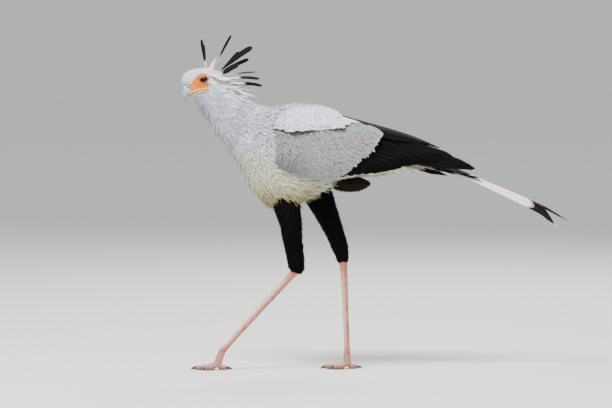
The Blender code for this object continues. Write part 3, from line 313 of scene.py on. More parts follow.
def patch_depth(x, z, corners):
    """Distance to a patch's edge in side view, positive inside; inside means an odd count of crossings."""
    inside = np.zeros(np.shape(x), bool)
    for (ax, az), (bx, bz) in zip(corners, corners[1:] + corners[:1]):
        between = (az > z) != (bz > z)
        inside ^= between & (x < (bx - ax) * (z - az) / (bz - az + 1e-12) + ax)
    return np.where(inside, 1.0, -1.0) * line_distance(x, z, corners + corners[:1])


# Surfaces
class Hide:
    """A sleeve of points, rows along and columns round, read between its points by mixing the nearest four.

    Normals are cross products of the steps round and along, turned outwards.
    """

    def __init__(self, grid):
        """Keeps the grid with its normals and its steps along and round."""
        wrapped = np.concatenate([grid[:, -1:], grid, grid[:, :1]], axis=1)
        around = (wrapped[:, 2:] - wrapped[:, :-2]) / 2
        lengthwise = np.gradient(grid, axis=0)
        normal = unit(np.cross(around, lengthwise))
        outward = grid - grid.mean(axis=1, keepdims=True)
        normal *= np.sign((normal * outward).sum(axis=-1).mean())
        self.rows, self.columns = grid.shape[:2]
        self.points = grid
        self.normals = normal
        self.layers = np.concatenate([grid, normal, lengthwise, around], axis=-1)

    def at(self, v, u):
        """Point, normal, step along and step round at row v and column u, which may be fractions."""
        v = np.clip(v, 0, self.rows - 1.001)
        row, column = np.floor(v).astype(int), np.floor(u).astype(int)
        f, g = (v - row)[..., None], (u - column)[..., None]
        left, right = column % self.columns, (column + 1) % self.columns
        near = self.layers[row, left] * (1 - g) + self.layers[row, right] * g
        far = self.layers[row + 1, left] * (1 - g) + self.layers[row + 1, right] * g
        found = near * (1 - f) + far * f
        return found[..., 0:3], unit(found[..., 3:6]), found[..., 6:9], found[..., 9:12]

    def scatter(self, weight):
        """Rows and columns of evenly spread places: their number is the weight summed over the area.

        Two additive sequences of irrational steps are turned into places by the running sum of weight
        along the rows, then round the row.
        """
        area = np.linalg.norm(np.cross(self.layers[..., 6:9], self.layers[..., 9:12]), axis=-1)
        mass = area * weight
        count = int(mass.sum())
        rise = np.arange(1, count + 1)
        first = (0.5 + rise * 0.7548776662466927) % 1.0
        second = (0.5 + rise * 0.5698402909980532) % 1.0
        by_row = np.concatenate([[0.0], np.cumsum(mass.sum(axis=1))])
        v = np.interp(first * by_row[-1], by_row, np.arange(self.rows + 1)) - 0.5
        row = np.clip(np.round(v).astype(int), 0, self.rows - 1)
        inner = np.cumsum(mass, axis=1)
        inner = inner / np.maximum(inner[:, -1:], 1e-12) + np.arange(self.rows)[:, None]
        u = np.searchsorted(inner.ravel(), row + second) - row * self.columns
        jitter = random.uniform(-0.5, 0.5, (2, count))
        return np.clip(v + jitter[0], 0, self.rows - 1.001), u + jitter[1]

    def comb(self, v, u, length, turn, steps):
        """Lines that start at places and run along the sleeve, turned from its length by an angle."""
        lines = [(v, u)]
        for _ in range(steps):
            lengthwise, around = self.at(v, u)[2:]
            v = v + np.cos(turn) * length / steps / np.maximum(np.linalg.norm(lengthwise, axis=-1), 1e-5)
            u = u + np.sin(turn) * length / steps / np.maximum(np.linalg.norm(around, axis=-1), 1e-5)
            lines.append((v, u))
        return np.array([line[0] for line in lines]).T, np.array([line[1] for line in lines]).T

    def unwrap(self, v, u):
        """The place's own spot on the sleeve opened flat."""
        return np.stack([(u / self.columns) % 1.0, np.clip(v / self.rows, 0, 1)], axis=-1)


def profile_grid(table, sides, squareness=None):
    """Ellipses whose top and bottom points are the rows' own: middle plus reach times a cosine, half width
    times a sine, both raised to a power a little under one where the body is squarer."""
    turn = np.arange(sides) * 2 * math.pi / sides
    power = 1.0 if squareness is None else 1.0 - squareness[:, None]
    up = np.sign(np.cos(turn)) * np.abs(np.cos(turn)) ** power
    out = np.sign(np.sin(turn)) * np.abs(np.sin(turn)) ** power
    middle, reach = (table[:, 0:2] + table[:, 2:4]) / 2, (table[:, 0:2] - table[:, 2:4]) / 2
    flat = middle[:, None, :] + reach[:, None, :] * np.broadcast_to(up, (len(table), sides))[..., None]
    side = table[:, 4, None] * out
    return np.stack([flat[..., 0], side, flat[..., 1]], axis=-1)


def tube_grid(path, depth, width, sides):
    """Rings square to a path: depth along the upright of the path's own plane, width across it."""
    run = unit(np.gradient(path, axis=0))
    across = np.cross(run, (0.0, 0.0, 1.0))
    weak = np.linalg.norm(across, axis=1) < 0.05
    across[weak] = (0.0, 1.0, 0.0)
    across = unit(across * np.sign(across[:, 1] + across[:, 0] * 1e-6)[:, None])
    up = np.cross(across, run)
    turn = np.arange(sides) * 2 * math.pi / sides
    depth = np.broadcast_to(depth, (len(path),))[:, None] * np.cos(turn)
    width = np.broadcast_to(width, (len(path),))[:, None] * np.sin(turn)
    return path[:, None, :] + up[:, None, :] * depth[..., None] + across[:, None, :] * width[..., None]


# Meshes
def new_mesh(name, points, quads, tris=(), vectors=None, spots=None, normals=None):
    """A mesh filled from whole arrays, with point attributes, and the map OFBake where spots are given."""
    quads = np.asarray(quads, np.int32).reshape(-1, 4)
    tris = np.asarray(tris, np.int32).reshape(-1, 3)
    corners = np.concatenate([quads.ravel(), tris.ravel()])
    sizes = np.concatenate([np.full(len(quads), 4), np.full(len(tris), 3)])
    mesh = bpy.data.meshes.new(name)
    mesh.vertices.add(len(points))
    mesh.vertices.foreach_set("co", np.ascontiguousarray(points, np.float32).ravel())
    mesh.loops.add(len(corners))
    mesh.loops.foreach_set("vertex_index", corners)
    mesh.polygons.add(len(sizes))
    mesh.polygons.foreach_set("loop_start", np.concatenate([[0], np.cumsum(sizes)[:-1]]).astype(np.int32))
    mesh.update(calc_edges=True)
    for key, values in (vectors or {}).items():
        write_vector(mesh, key, values)
    if spots is not None:
        layer = mesh.uv_layers.new(name="OFBake")
        layer.data.foreach_set("uv", np.ascontiguousarray(spots[corners], np.float32).ravel())
    mesh.shade_smooth()
    if normals is not None:
        mesh.normals_split_custom_set_from_vertices(np.ascontiguousarray(normals, np.float32))
    return mesh


def write_vector(mesh, key, values):
    """Stores three numbers for each point under a name that the materials read."""
    layer = mesh.attributes.new(key, "FLOAT_VECTOR", "POINT")
    layer.data.foreach_set("vector", np.ascontiguousarray(values, np.float32).ravel())


def read_points(mesh):
    """A mesh's points as rows of x, y and z."""
    points = np.empty(len(mesh.vertices) * 3, np.float32)
    mesh.vertices.foreach_get("co", points)
    return points.reshape(-1, 3).astype(float)


def add_piece(name, mesh, material, nodes):
    """Puts a mesh in the scene as a piece that rides on the bird and stands for the named solids."""
    mesh.materials.clear()
    mesh.materials.append(material)
    piece = bpy.data.objects.new(name, mesh)
    bpy.context.scene.collection.objects.link(piece)
    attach(piece, "root")
    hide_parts(*nodes)


def closed_sleeve(grid):
    """Points and faces of a sleeve whose two ends are closed by fans round their own middles."""
    rows, sides = grid.shape[:2]
    index = np.arange(rows * sides).reshape(rows, sides)
    after = np.roll(index, -1, axis=1)
    quads = np.stack([index[:-1], after[:-1], after[1:], index[1:]], axis=-1).reshape(-1, 4)
    points = np.vstack([grid.reshape(-1, 3), grid[0].mean(axis=0), grid[-1].mean(axis=0)])
    first, last = rows * sides, rows * sides + 1
    start = np.stack([np.full(sides, first), after[0], index[0]], axis=-1)
    end = np.stack([np.full(sides, last), index[-1], after[-1]], axis=-1)
    tris = np.vstack([start, end])
    a, b, c = (points[quads[:, k]] for k in range(3))
    inside_out = np.einsum("ij,ij->i", a - points.mean(axis=0), np.cross(b - a, c - a)).sum() < 0
    if inside_out:
        quads, tris = quads[:, ::-1], tris[:, ::-1]
    return points, quads, tris


def loose_sleeve(name, grid):
    """A closed sleeve as a plain object, for joining."""
    points, quads, tris = closed_sleeve(grid)
    item = bpy.data.objects.new(name, new_mesh(name, points, quads, tris))
    bpy.context.scene.collection.objects.link(item)
    return item


def union(target, others):
    """One closed surface from several, by a Boolean that is applied."""
    group = bpy.data.collections.new("joined")
    bpy.context.scene.collection.children.link(group)
    for other in others:
        group.objects.link(other)
    boolean = target.modifiers.new("join", "BOOLEAN")
    boolean.operation = "UNION"
    boolean.operand_type = "COLLECTION"
    boolean.collection = group
    boolean.solver = "MANIFOLD"
    view = bpy.context.evaluated_depsgraph_get()
    view.update()
    mesh = bpy.data.meshes.new_from_object(target.evaluated_get(view))
    for item in [target] + others:
        bpy.data.objects.remove(item)
    bpy.data.collections.remove(group)
    return mesh


def blade_faces(rows, columns):
    """Faces of one closed blade: an upper and a lower grid that share their rim."""
    upper = np.arange(rows * columns).reshape(rows, columns)
    lower = upper.copy()
    inner = (rows - 2) * (columns - 2)
    lower[1:-1, 1:-1] = rows * columns + np.arange(inner).reshape(rows - 2, columns - 2)
    top = np.stack([upper[:-1, :-1], upper[1:, :-1], upper[1:, 1:], upper[:-1, 1:]], axis=-1)
    under = np.stack([lower[:-1, :-1], lower[:-1, 1:], lower[1:, 1:], lower[1:, :-1]], axis=-1)
    return np.vstack([top.reshape(-1, 4), under.reshape(-1, 4)])


def blades(path, normal, width, outline, columns, tint, ink_and_shade=0.0, spots=None, round_tip=0.0, jag=0.0,
           camber=0.15, shaft=0.0, thick=0.0006, soft=0.6, marks=None):
    """A lot of blades along paths (feathers, stations, 3): each point is its station's place, plus the
    sideways direction times half the width times the outline, less a drop with the square of the distance
    from the shaft. Stations near the tip are drawn back with the square of that distance, which rounds the
    tip, and by a random share that frays it. The lower side is the upper one less the thickness. The
    shading normal is a mix of the blade's own and that of the surface it lies on."""
    count, rows = path.shape[:2]
    columns = np.asarray(columns, float)
    s = np.linspace(0.0, 1.0, rows)
    length = np.linalg.norm(np.diff(path, axis=1), axis=2).sum(axis=1)
    run = unit(np.gradient(path, axis=1))
    across = unit(np.cross(normal, run))
    up = np.cross(run, across)
    half = width[:, None] / 2 * np.broadcast_to(outline, (count, rows))
    fray = random.uniform(0.0, 1.0, (count, 1, len(columns))) * jag * (s ** 4)[None, :, None]
    back = (round_tip * columns ** 2 * (s ** 3)[None, :, None] + fray) * length[:, None, None]
    aside = half[:, :, None] * columns
    rise = shaft * (np.abs(columns) < 0.01) - camber * np.abs(aside) * np.abs(columns)
    upper = (path[:, :, None, :] + across[:, :, None, :] * aside[..., None]
             + up[:, :, None, :] * rise[..., None] - run[:, :, None, :] * back[..., None])
    lower = upper[:, 1:-1, 1:-1] - up[:, 1:-1, None, :] * thick
    facing = unit(normal * soft + up * (1 - soft))[:, :, None, :]
    facing = unit(facing + across[:, :, None, :] * columns[:, None] * ROUNDNESS)

    def both(values, flip=1.0):
        """Values over the upper grid, then those of the lower grid's own points, per feather."""
        values = np.broadcast_to(values, (count, rows, len(columns)) + np.shape(values)[3:])
        flat = (count, -1) + values.shape[3:]
        return np.concatenate([values.reshape(flat), flip * values[:, 1:-1, 1:-1].reshape(flat)], axis=1)

    points = np.concatenate([upper.reshape(count, -1, 3), lower.reshape(count, -1, 3)], axis=1)
    share_across, share_along = both(columns[None, None, :]), both(s[None, :, None])
    dark = np.asarray(ink_and_shade, float)
    dark = both(dark[:, :, None] if dark.ndim == 2 else dark.reshape(1, 1, 1))
    vane = np.stack([share_across, share_along, np.broadcast_to(tint[:, None], dark.shape)], axis=-1)
    barb = np.stack([both(aside), share_along * length[:, None], dark], axis=-1)
    lot = {"points": points, "faces": blade_faces(rows, len(columns)), "normals": both(facing, -1.0),
           "local": np.stack([share_across, 2 * share_along - 1], axis=-1) / 2, "vane": vane, "barb": barb,
           "spots": np.zeros((count, 2)) if spots is None else spots}
    if marks is not None:
        lot["marks"] = np.broadcast_to(marks[:, None, :], points.shape)
    return lot


def add_blades(name, lots, material, nodes, patch=BAKE_PATCH):
    """Joins lots of blades into one piece. On the bake map a feather is a patch at its root's spot on the
    skin; without a patch size it is a cell of one square chart."""
    total = sum(len(lot["points"]) for lot in lots)
    cells = math.ceil(math.sqrt(total))
    start, number = 0, 0
    faces, spots = [], []
    for lot in lots:
        count, size = lot["points"].shape[:2]
        faces.append((lot["faces"][None] + (np.arange(count) * size)[:, None, None]).reshape(-1, 4) + start)
        order = number + np.arange(count)
        grid = np.stack([order % cells + 0.5, order // cells + 0.5], axis=-1) / cells
        home, reach = (lot["spots"], patch) if patch else (grid, 0.9 / cells)
        spots.append(np.clip(home[:, None, :] + lot["local"] * reach, 0.0, 1.0).reshape(-1, 2))
        start, number = start + count * size, number + count
    flat = {key: np.vstack([lot[key].reshape(-1, 3) for lot in lots])
            for key in ("points", "normals", "vane", "barb", "marks") if key in lots[0]}
    normals, points = flat.pop("normals"), flat.pop("points")
    mesh = new_mesh(name, points, np.vstack(faces), (), flat, np.vstack(spots), normals)
    add_piece(name, mesh, material, nodes)


# Markings, shared by skin and feathers
def face_bare(points):
    """1 where the face is bare skin, round the eye and along the gape with a streak behind: a smooth step of
    the depth inside its two patches, made uneven by a sine of a sine."""
    x, z = points[..., 0], points[..., 2]
    depth = np.maximum(patch_depth(x, z, FACE_EDGE), patch_depth(x, z, EYE_STREAK))
    return fade(depth + 0.0008 * np.sin(2600 * z + 3 * np.sin(900 * x)), -0.0010, 0.0010)


def body_marks(points):
    """Cream, stain_and_shade and soot shares over the plumage: products of smooth steps of the height and of
    the place along the body. The second is partly the feathers' own staining, partly painted shade with a
    greenish reflection; under the tail it is painted shade and reflection only."""
    x, z = points[..., 0], points[..., 2]
    cream = fade(z, 0.680, 0.590) * fade(x, -0.46, -0.36) * (0.65 + 0.35 * fade(z, 0.58, 0.50))
    cream = np.maximum(cream, fade(x, -0.06, 0.02) * 0.9)
    # Low on the belly: partly the feathers' own staining, partly painted shade with a greenish reflection
    stain_and_shade = fade(z, 0.570, 0.480) * fade(x, -0.10, -0.20)
    # Under the tail: painted shade with a greenish reflection only
    stain_and_shade = np.maximum(stain_and_shade, 0.90 * fade(x, -0.10, -0.04) * fade(x, 0.18, 0.12) * fade(z, 0.585, 0.567))
    soot = fade(x, -0.150, -0.130) * fade(x, -0.010, -0.040) * fade(z, 0.562, 0.548)
    return np.stack([cream, stain_and_shade, soot], axis=-1)


# Materials
def group_tree(name, inputs, outputs):
    """An empty shader node group with named inputs (name, kind, default) and outputs (name, kind)."""
    tree = bpy.data.node_groups.new(name, "ShaderNodeTree")
    for label, kind, value in inputs:
        socket = tree.interface.new_socket(label, in_out="INPUT", socket_type=kind)
        socket.default_value = value
    for label, kind in outputs:
        tree.interface.new_socket(label, in_out="OUTPUT", socket_type=kind)
    return tree, tree.nodes.new("NodeGroupInput"), tree.nodes.new("NodeGroupOutput")


def feed(tree, socket, source):
    """Links a socket to another one, or gives it a plain value."""
    if isinstance(source, bpy.types.NodeSocket):
        tree.links.new(source, socket)
    else:
        socket.default_value = source


def put(tree, kind, links=(), **settings):
    """A node with its settings, and its inputs fed by (input, socket or value) pairs."""
    node = tree.nodes.new(kind)
    for key, value in settings.items():
        setattr(node, key, value)
    for target, source in links:
        feed(tree, node.inputs[target], source)
    return node


def calc(tree, operation, *values):
    """The result of one step of arithmetic on sockets or plain values."""
    return put(tree, "ShaderNodeMath", list(enumerate(values)), operation=operation).outputs[0]


def ramp(tree, value, low, high, start=0.0, end=1.0):
    """A smooth step of a value from low to high, as start to end."""
    links = [("Value", value), ("From Min", low), ("From Max", high), ("To Min", start), ("To Max", end)]
    return put(tree, "ShaderNodeMapRange", links, interpolation_type="SMOOTHSTEP").outputs["Result"]


def mix(tree, share, first, second):
    """A mix of two colours by a share."""
    return put(tree, "ShaderNodeMix", [(0, share), (6, first), (7, second)], data_type="RGBA").outputs[2]


def colour(red, green, blue):
    """A colour from the eight-bit values that a screen shows, made linear for the shader."""
    parts = [channel / 255 for channel in (red, green, blue)]
    return tuple(c / 12.92 if c <= 0.04045 else ((c + 0.055) / 1.055) ** 2.4 for c in parts) + (1.0,)


def read_attribute(tree, key):
    """The three numbers of a point attribute."""
    vector = put(tree, "ShaderNodeAttribute", attribute_name=key).outputs[1]
    return put(tree, "ShaderNodeSeparateXYZ", [(0, vector)]).outputs


def object_place(tree):
    """The place on the piece in its own metres."""
    return put(tree, "ShaderNodeTexCoord").outputs["Object"]


def noise(tree, scale, detail=3.0):
    """Cloudy noise over the object's own metres."""
    links = [("Vector", object_place(tree)), ("Scale", scale), ("Detail", detail)]
    return put(tree, "ShaderNodeTexNoise", links).outputs[0]


def scales(tree, size):
    """Distance to the edges of irregular cells over the object's own metres."""
    links = [("Vector", object_place(tree)), ("Scale", size)]
    return put(tree, "ShaderNodeTexVoronoi", links, feature="DISTANCE_TO_EDGE").outputs[0]


def barb_group():
    """Barbs, shaft, rim, tip and streaks of a feather, from its shares across and along and its own metres.

    Barb lines are a sine of the length less a slanted share of the distance from the shaft, over a pitch.
    Streaks are noise stretched along the feather.
    """
    outputs = [(label, "NodeSocketFloat") for label in
               ("Barbs", "Shaft", "Rim", "Tip", "Tint", "Ink_and_Shade", "Streak", "Height")]
    tree, entry, leave = group_tree("feather_barbs", [("Pitch", "NodeSocketFloat", 0.0007),
                                                      ("Slant", "NodeSocketFloat", 1.3),
                                                      ("Shaft Width", "NodeSocketFloat", 0.06)], outputs)
    vane, barb = read_attribute(tree, "vane"), read_attribute(tree, "barb")
    across, aside = calc(tree, "ABSOLUTE", vane[0]), calc(tree, "ABSOLUTE", barb[0])
    length = calc(tree, "SUBTRACT", barb[1], calc(tree, "MULTIPLY", aside, entry.outputs["Slant"]))
    length = calc(tree, "ADD", length, calc(tree, "MULTIPLY", noise(tree, 90.0, 2.0), 0.003))
    phase = calc(tree, "DIVIDE", length, entry.outputs["Pitch"])
    wave = calc(tree, "SINE", calc(tree, "MULTIPLY", phase, 2 * math.pi))
    barbs = calc(tree, "MULTIPLY_ADD", wave, 0.5, 0.5)
    shaft = ramp(tree, calc(tree, "DIVIDE", across, entry.outputs["Shaft Width"]), 1.3, 0.7)
    grain = put(tree, "ShaderNodeCombineXYZ", [(0, calc(tree, "MULTIPLY", barb[0], 420.0)),
                                               (1, calc(tree, "MULTIPLY", barb[1], 45.0)),
                                               (2, calc(tree, "MULTIPLY", vane[2], 40.0))]).outputs[0]
    streak = put(tree, "ShaderNodeTexNoise", [("Vector", grain), ("Scale", 1.0), ("Detail", 2.0)]).outputs[0]
    height = calc(tree, "ADD", calc(tree, "MULTIPLY", barbs, 0.35), shaft)
    for label, socket in (("Barbs", barbs), ("Shaft", shaft), ("Rim", ramp(tree, across, 0.55, 1.0)),
                          ("Tip", ramp(tree, vane[1], 0.72, 1.0)), ("Tint", vane[2]), ("Ink_and_Shade", barb[2]),
                          ("Streak", streak), ("Height", height)):
        tree.links.new(socket, leave.inputs[label])
    return tree


def plumage_group():
    """Colour of the body plumage: white to lilac grey, cream and stained low down, sooty at the vent. The
    crown is whiter and the neck greyer, partly painted top light and painted shade; the stained share low
    down is partly painted shade with a greenish reflection.
    """
    kinds = [("White", "NodeSocketColor", colour(240, 241, 244)),
             ("Shade", "NodeSocketColor", colour(176, 182, 190)),
             ("Cream", "NodeSocketColor", colour(222, 219, 166)),
             ("Stain_and_Shade", "NodeSocketColor", colour(158, 142, 68)),
             ("Soot", "NodeSocketColor", colour(30, 22, 18)),
             ("Tint", "NodeSocketFloat", 0.5)]
    tree, entry, leave = group_tree("plumage_colour", kinds, [("Color", "NodeSocketColor")])
    marks = read_attribute(tree, "marks")
    drift = noise(tree, 26.0)
    height = put(tree, "ShaderNodeSeparateXYZ", [(0, object_place(tree))]).outputs[2]
    share = calc(tree, "ADD", drift, calc(tree, "MULTIPLY", entry.outputs["Tint"], 0.30))
    # Whiter on the crown, greyer down the neck: partly the plumage's own tone, partly painted top light and
    # painted shade
    share = calc(tree, "ADD", share, ramp(tree, height, 0.79, 0.84, 0.10, -0.22))
    base = mix(tree, ramp(tree, share, 0.42, 0.90), entry.outputs["White"], entry.outputs["Shade"])
    uneven = calc(tree, "MULTIPLY_ADD", calc(tree, "SUBTRACT", drift, 0.5), 0.8, marks[1])
    base = mix(tree, marks[0], base, entry.outputs["Cream"])
    # Mix to the olive colour: partly real staining, partly painted shade with a greenish reflection
    base = mix(tree, ramp(tree, uneven, 0.12, 1.05), base, entry.outputs["Stain_and_Shade"])
    base = mix(tree, marks[2], base, entry.outputs["Soot"])
    tree.links.new(base, leave.inputs["Color"])
    return tree


def shader(name, roughness, **constants):
    """A material with its Principled shader, whose constants are set on its own sockets."""
    material = bpy.data.materials.new(name)
    material.use_nodes = True
    node = material.node_tree.nodes["Principled BSDF"]
    node.inputs["Roughness"].default_value = roughness
    for key, value in constants.items():
        node.inputs[key.replace("_", " ")].default_value = value
    return material, material.node_tree, node


def cover(tree, node, base, height, distance, strength=0.5):
    """Links a colour, and a Bump node between a height and the shader's normal."""
    tree.links.new(base, node.inputs["Base Color"])
    shape = put(tree, "ShaderNodeBump", [("Height", height), ("Distance", distance), ("Strength", strength)])
    tree.links.new(shape.outputs[0], node.inputs["Normal"])


def use_group(tree, group, **values):
    """A node group placed in a material with its own input values; gives its outputs."""
    node = tree.nodes.new("ShaderNodeGroup")
    node.node_tree = group
    for key, value in values.items():
        feed(tree, node.inputs[key.replace("_", " ")], value)
    return node.outputs


def body_feather(barbs, plumage):
    """Soft white, grey and cream body feathers: all but their tips are darkened by painted shade, and their
    grey streaks are partly painted shade.
    """
    material, tree, node = shader("body_feather", 0.9, Specular_IOR_Level=0.2)
    lines = use_group(tree, barbs, Pitch=0.0010, Shaft_Width=0.05)
    base = use_group(tree, plumage, Tint=lines["Tint"])["Color"]
    # Grey streaks along the vanes: partly the feathers' own streaking, partly painted shade
    base = mix(tree, ramp(tree, lines["Streak"], 0.42, 0.72, 0.0, 0.55), base, colour(140, 145, 152))
    # Painted shade: each feather is darker everywhere but its tip, as where it lies under its neighbours
    base = mix(tree, ramp(tree, lines["Tip"], 0.0, 1.0, 0.34, 0.0), base, colour(122, 126, 132))
    cover(tree, node, base, lines["Height"], 0.0003)
    return material


def vane_finish(name, barbs, pale, warm, rim_colour, dark, rim_share, streak, deep):
    """Vanes with a ground colour that drifts from feather to feather, streaks of a deep colour along it, a
    paler rim, a shaft, and their dark colour where the ink_and_shade mark asks for it: painted shade on the
    coverts, the feathers' own dark band or tip on tail, crest and hackles."""
    material, tree, node = shader(name, 0.8, Specular_IOR_Level=0.12)
    lines = use_group(tree, barbs, Pitch=0.0009, Shaft_Width=0.07)
    drift = noise(tree, 45.0, 4.0)
    share = calc(tree, "MULTIPLY_ADD", lines["Tint"], 0.8, calc(tree, "MULTIPLY", drift, 0.4))
    base = mix(tree, ramp(tree, share, 0.25, 0.95), pale, warm)
    base = mix(tree, ramp(tree, lines["Streak"], 0.40, 0.75, 0.0, streak), base, deep)
    edge = calc(tree, "MAXIMUM", lines["Rim"], lines["Tip"])
    base = mix(tree, calc(tree, "MULTIPLY", edge, rim_share), base, rim_colour)
    base = mix(tree, calc(tree, "MULTIPLY", lines["Barbs"], 0.08), base, colour(60, 58, 60))
    base = mix(tree, calc(tree, "MULTIPLY", lines["Shaft"], 0.35), base, colour(112, 104, 98))
    soot = mix(tree, calc(tree, "MULTIPLY", drift, 0.5), dark, colour(24, 18, 16))
    soot = mix(tree, calc(tree, "MULTIPLY", lines["Shaft"], 0.3), soot, colour(60, 54, 50))
    # Dark colour by the ink_and_shade mark: painted shade on the coverts, the feathers' own dark band or tip
    # on tail, crest and hackles
    base = mix(tree, lines["Ink_and_Shade"], base, soot)
    cover(tree, node, base, lines["Height"], 0.0004)
    return material


def dark_feather(name, barbs, first, second, edge):
    """Black-brown feathers that drift between two colours, with fine barbs and an edge colour."""
    material, tree, node = shader(name, 0.75, Specular_IOR_Level=0.05)
    lines = use_group(tree, barbs, Pitch=0.0011, Shaft_Width=0.05)
    share = calc(tree, "MULTIPLY_ADD", lines["Tint"], 0.6, calc(tree, "MULTIPLY", noise(tree, 30.0), 0.6))
    base = mix(tree, ramp(tree, share, 0.3, 1.0), first, second)
    base = mix(tree, calc(tree, "MULTIPLY", lines["Barbs"], 0.10), base, colour(26, 26, 30))
    base = mix(tree, calc(tree, "MULTIPLY", lines["Rim"], 0.4), base, edge)
    cover(tree, node, base, lines["Height"], 0.0004)
    return material


def skin_finish(plumage):
    """One skin: bare orange, yellow and pink face, and plumage colour wherever feathers cover it."""
    material, tree, node = shader("bird_skin", 0.55, Specular_IOR_Level=0.2)
    face, extra = read_attribute(tree, "face"), read_attribute(tree, "dark")
    fine = noise(tree, 420.0, 4.0)
    cells = scales(tree, 800.0)
    base = use_group(tree, plumage, Tint=0.6)["Color"]
    mottle = ramp(tree, fine, 0.35, 0.70)
    orange = mix(tree, mottle, colour(186, 88, 0), colour(212, 118, 0))
    cream = mix(tree, mottle, colour(236, 190, 92), colour(246, 222, 158))
    skin = mix(tree, face[1], cream, orange)
    skin = mix(tree, face[2], skin, mix(tree, mottle, colour(214, 70, 50), colour(236, 128, 104)))
    skin = mix(tree, ramp(tree, cells, 0.12, 0.0, 0.0, 0.35), skin, colour(196, 84, 30))
    skin = mix(tree, extra[1], skin, colour(60, 30, 18))
    base = mix(tree, extra[0], base, colour(10, 9, 9))
    base = mix(tree, face[0], base, skin)
    cover(tree, node, base, calc(tree, "MULTIPLY_ADD", cells, 0.8, fine), 0.0006, 0.6)
    return material


def lid_finish():
    """Lid skin, orange in front and pink-red behind, with a black inner rim."""
    material, tree, node = shader("lid_skin", 0.4, Specular_IOR_Level=0.4)
    marks = read_attribute(tree, "face")
    fine = noise(tree, 600.0)
    base = mix(tree, marks[1], colour(194, 88, 0), colour(184, 58, 40))
    base = mix(tree, ramp(tree, fine, 0.4, 0.7, 0.0, 0.30), base, colour(246, 150, 90))
    base = mix(tree, marks[0], base, colour(12, 8, 7))
    cover(tree, node, base, fine, 0.0004)
    return material


def horn_finish():
    """Blue-grey horn, greenish yellow at the cere and the hook, with fine growth lines and near-black
    painted shade in the nostrils.
    """
    material, tree, node = shader("bill_horn", 0.35, Coat_Weight=0.1, Coat_Roughness=0.3)
    place = object_place(tree)
    height = put(tree, "ShaderNodeSeparateXYZ", [(0, place)]).outputs[2]
    marks = read_attribute(tree, "face")
    drift = noise(tree, 160.0, 4.0)
    base = mix(tree, ramp(tree, drift, 0.35, 0.7), colour(166, 190, 198), colour(104, 130, 140))
    base = mix(tree, ramp(tree, height, 0.797, 0.783), base, colour(122, 138, 66))
    base = mix(tree, marks[0], base, colour(204, 203, 178))
    base = mix(tree, marks[2], base, colour(236, 200, 130))
    # Painted shade: the nostril's dent is painted near black, as the shade inside the opening
    base = mix(tree, marks[1], base, colour(14, 10, 9))
    links = [("Vector", place), ("Scale", 110.0), ("Distortion", 3.0)]
    growth = put(tree, "ShaderNodeTexWave", links).outputs[1]
    cover(tree, node, base, calc(tree, "MULTIPLY_ADD", growth, 0.4, drift), 0.0003, 0.4)
    return material


def leg_finish():
    """Pink leg skin with pale scute edges down the front and dirt at the toes."""
    material, tree, node = shader("leg_skin", 0.6, Specular_IOR_Level=0.3)
    marks = read_attribute(tree, "face")
    cells = scales(tree, 420.0)
    flush = ramp(tree, noise(tree, 60.0, 5.0), 0.32, 0.72)
    base = mix(tree, flush, colour(206, 134, 110), colour(158, 94, 78))
    base = mix(tree, marks[0], base, colour(236, 214, 198))
    base = mix(tree, marks[1], base, colour(96, 72, 60))
    base = mix(tree, ramp(tree, cells, 0.12, 0.0, 0.0, 0.55), base, colour(104, 62, 52))
    base = mix(tree, marks[2], base, colour(120, 78, 68))
    cover(tree, node, base, calc(tree, "MINIMUM", cells, 0.25), 0.0012)
    return material


def claw_finish():
    """Near-black horn with cloudy brown."""
    material, tree, node = shader("claw_horn", 0.35, Coat_Weight=0.2, Coat_Roughness=0.3)
    drift = noise(tree, 240.0)
    base = mix(tree, ramp(tree, drift, 0.3, 0.75), colour(24, 21, 20), colour(66, 56, 50))
    cover(tree, node, base, drift, 0.0003, 0.4)
    return material


def eye_finish():
    """Wet eye: black pupil, cloudy dark brown iris and a darker rim, by the angle from the sight line."""
    material, tree, node = shader("eye_gloss", 0.03, IOR=1.34, Specular_IOR_Level=0.4)
    iris = read_attribute(tree, "iris")[0]
    ring = mix(tree, noise(tree, 900.0), colour(14, 9, 6), colour(36, 21, 11))
    base = mix(tree, ramp(tree, iris, 0.44, 0.52), colour(2, 2, 2), ring)
    base = mix(tree, ramp(tree, iris, 0.72, 0.84), base, colour(8, 6, 5))
    tree.links.new(base, node.inputs["Base Color"])
    return material


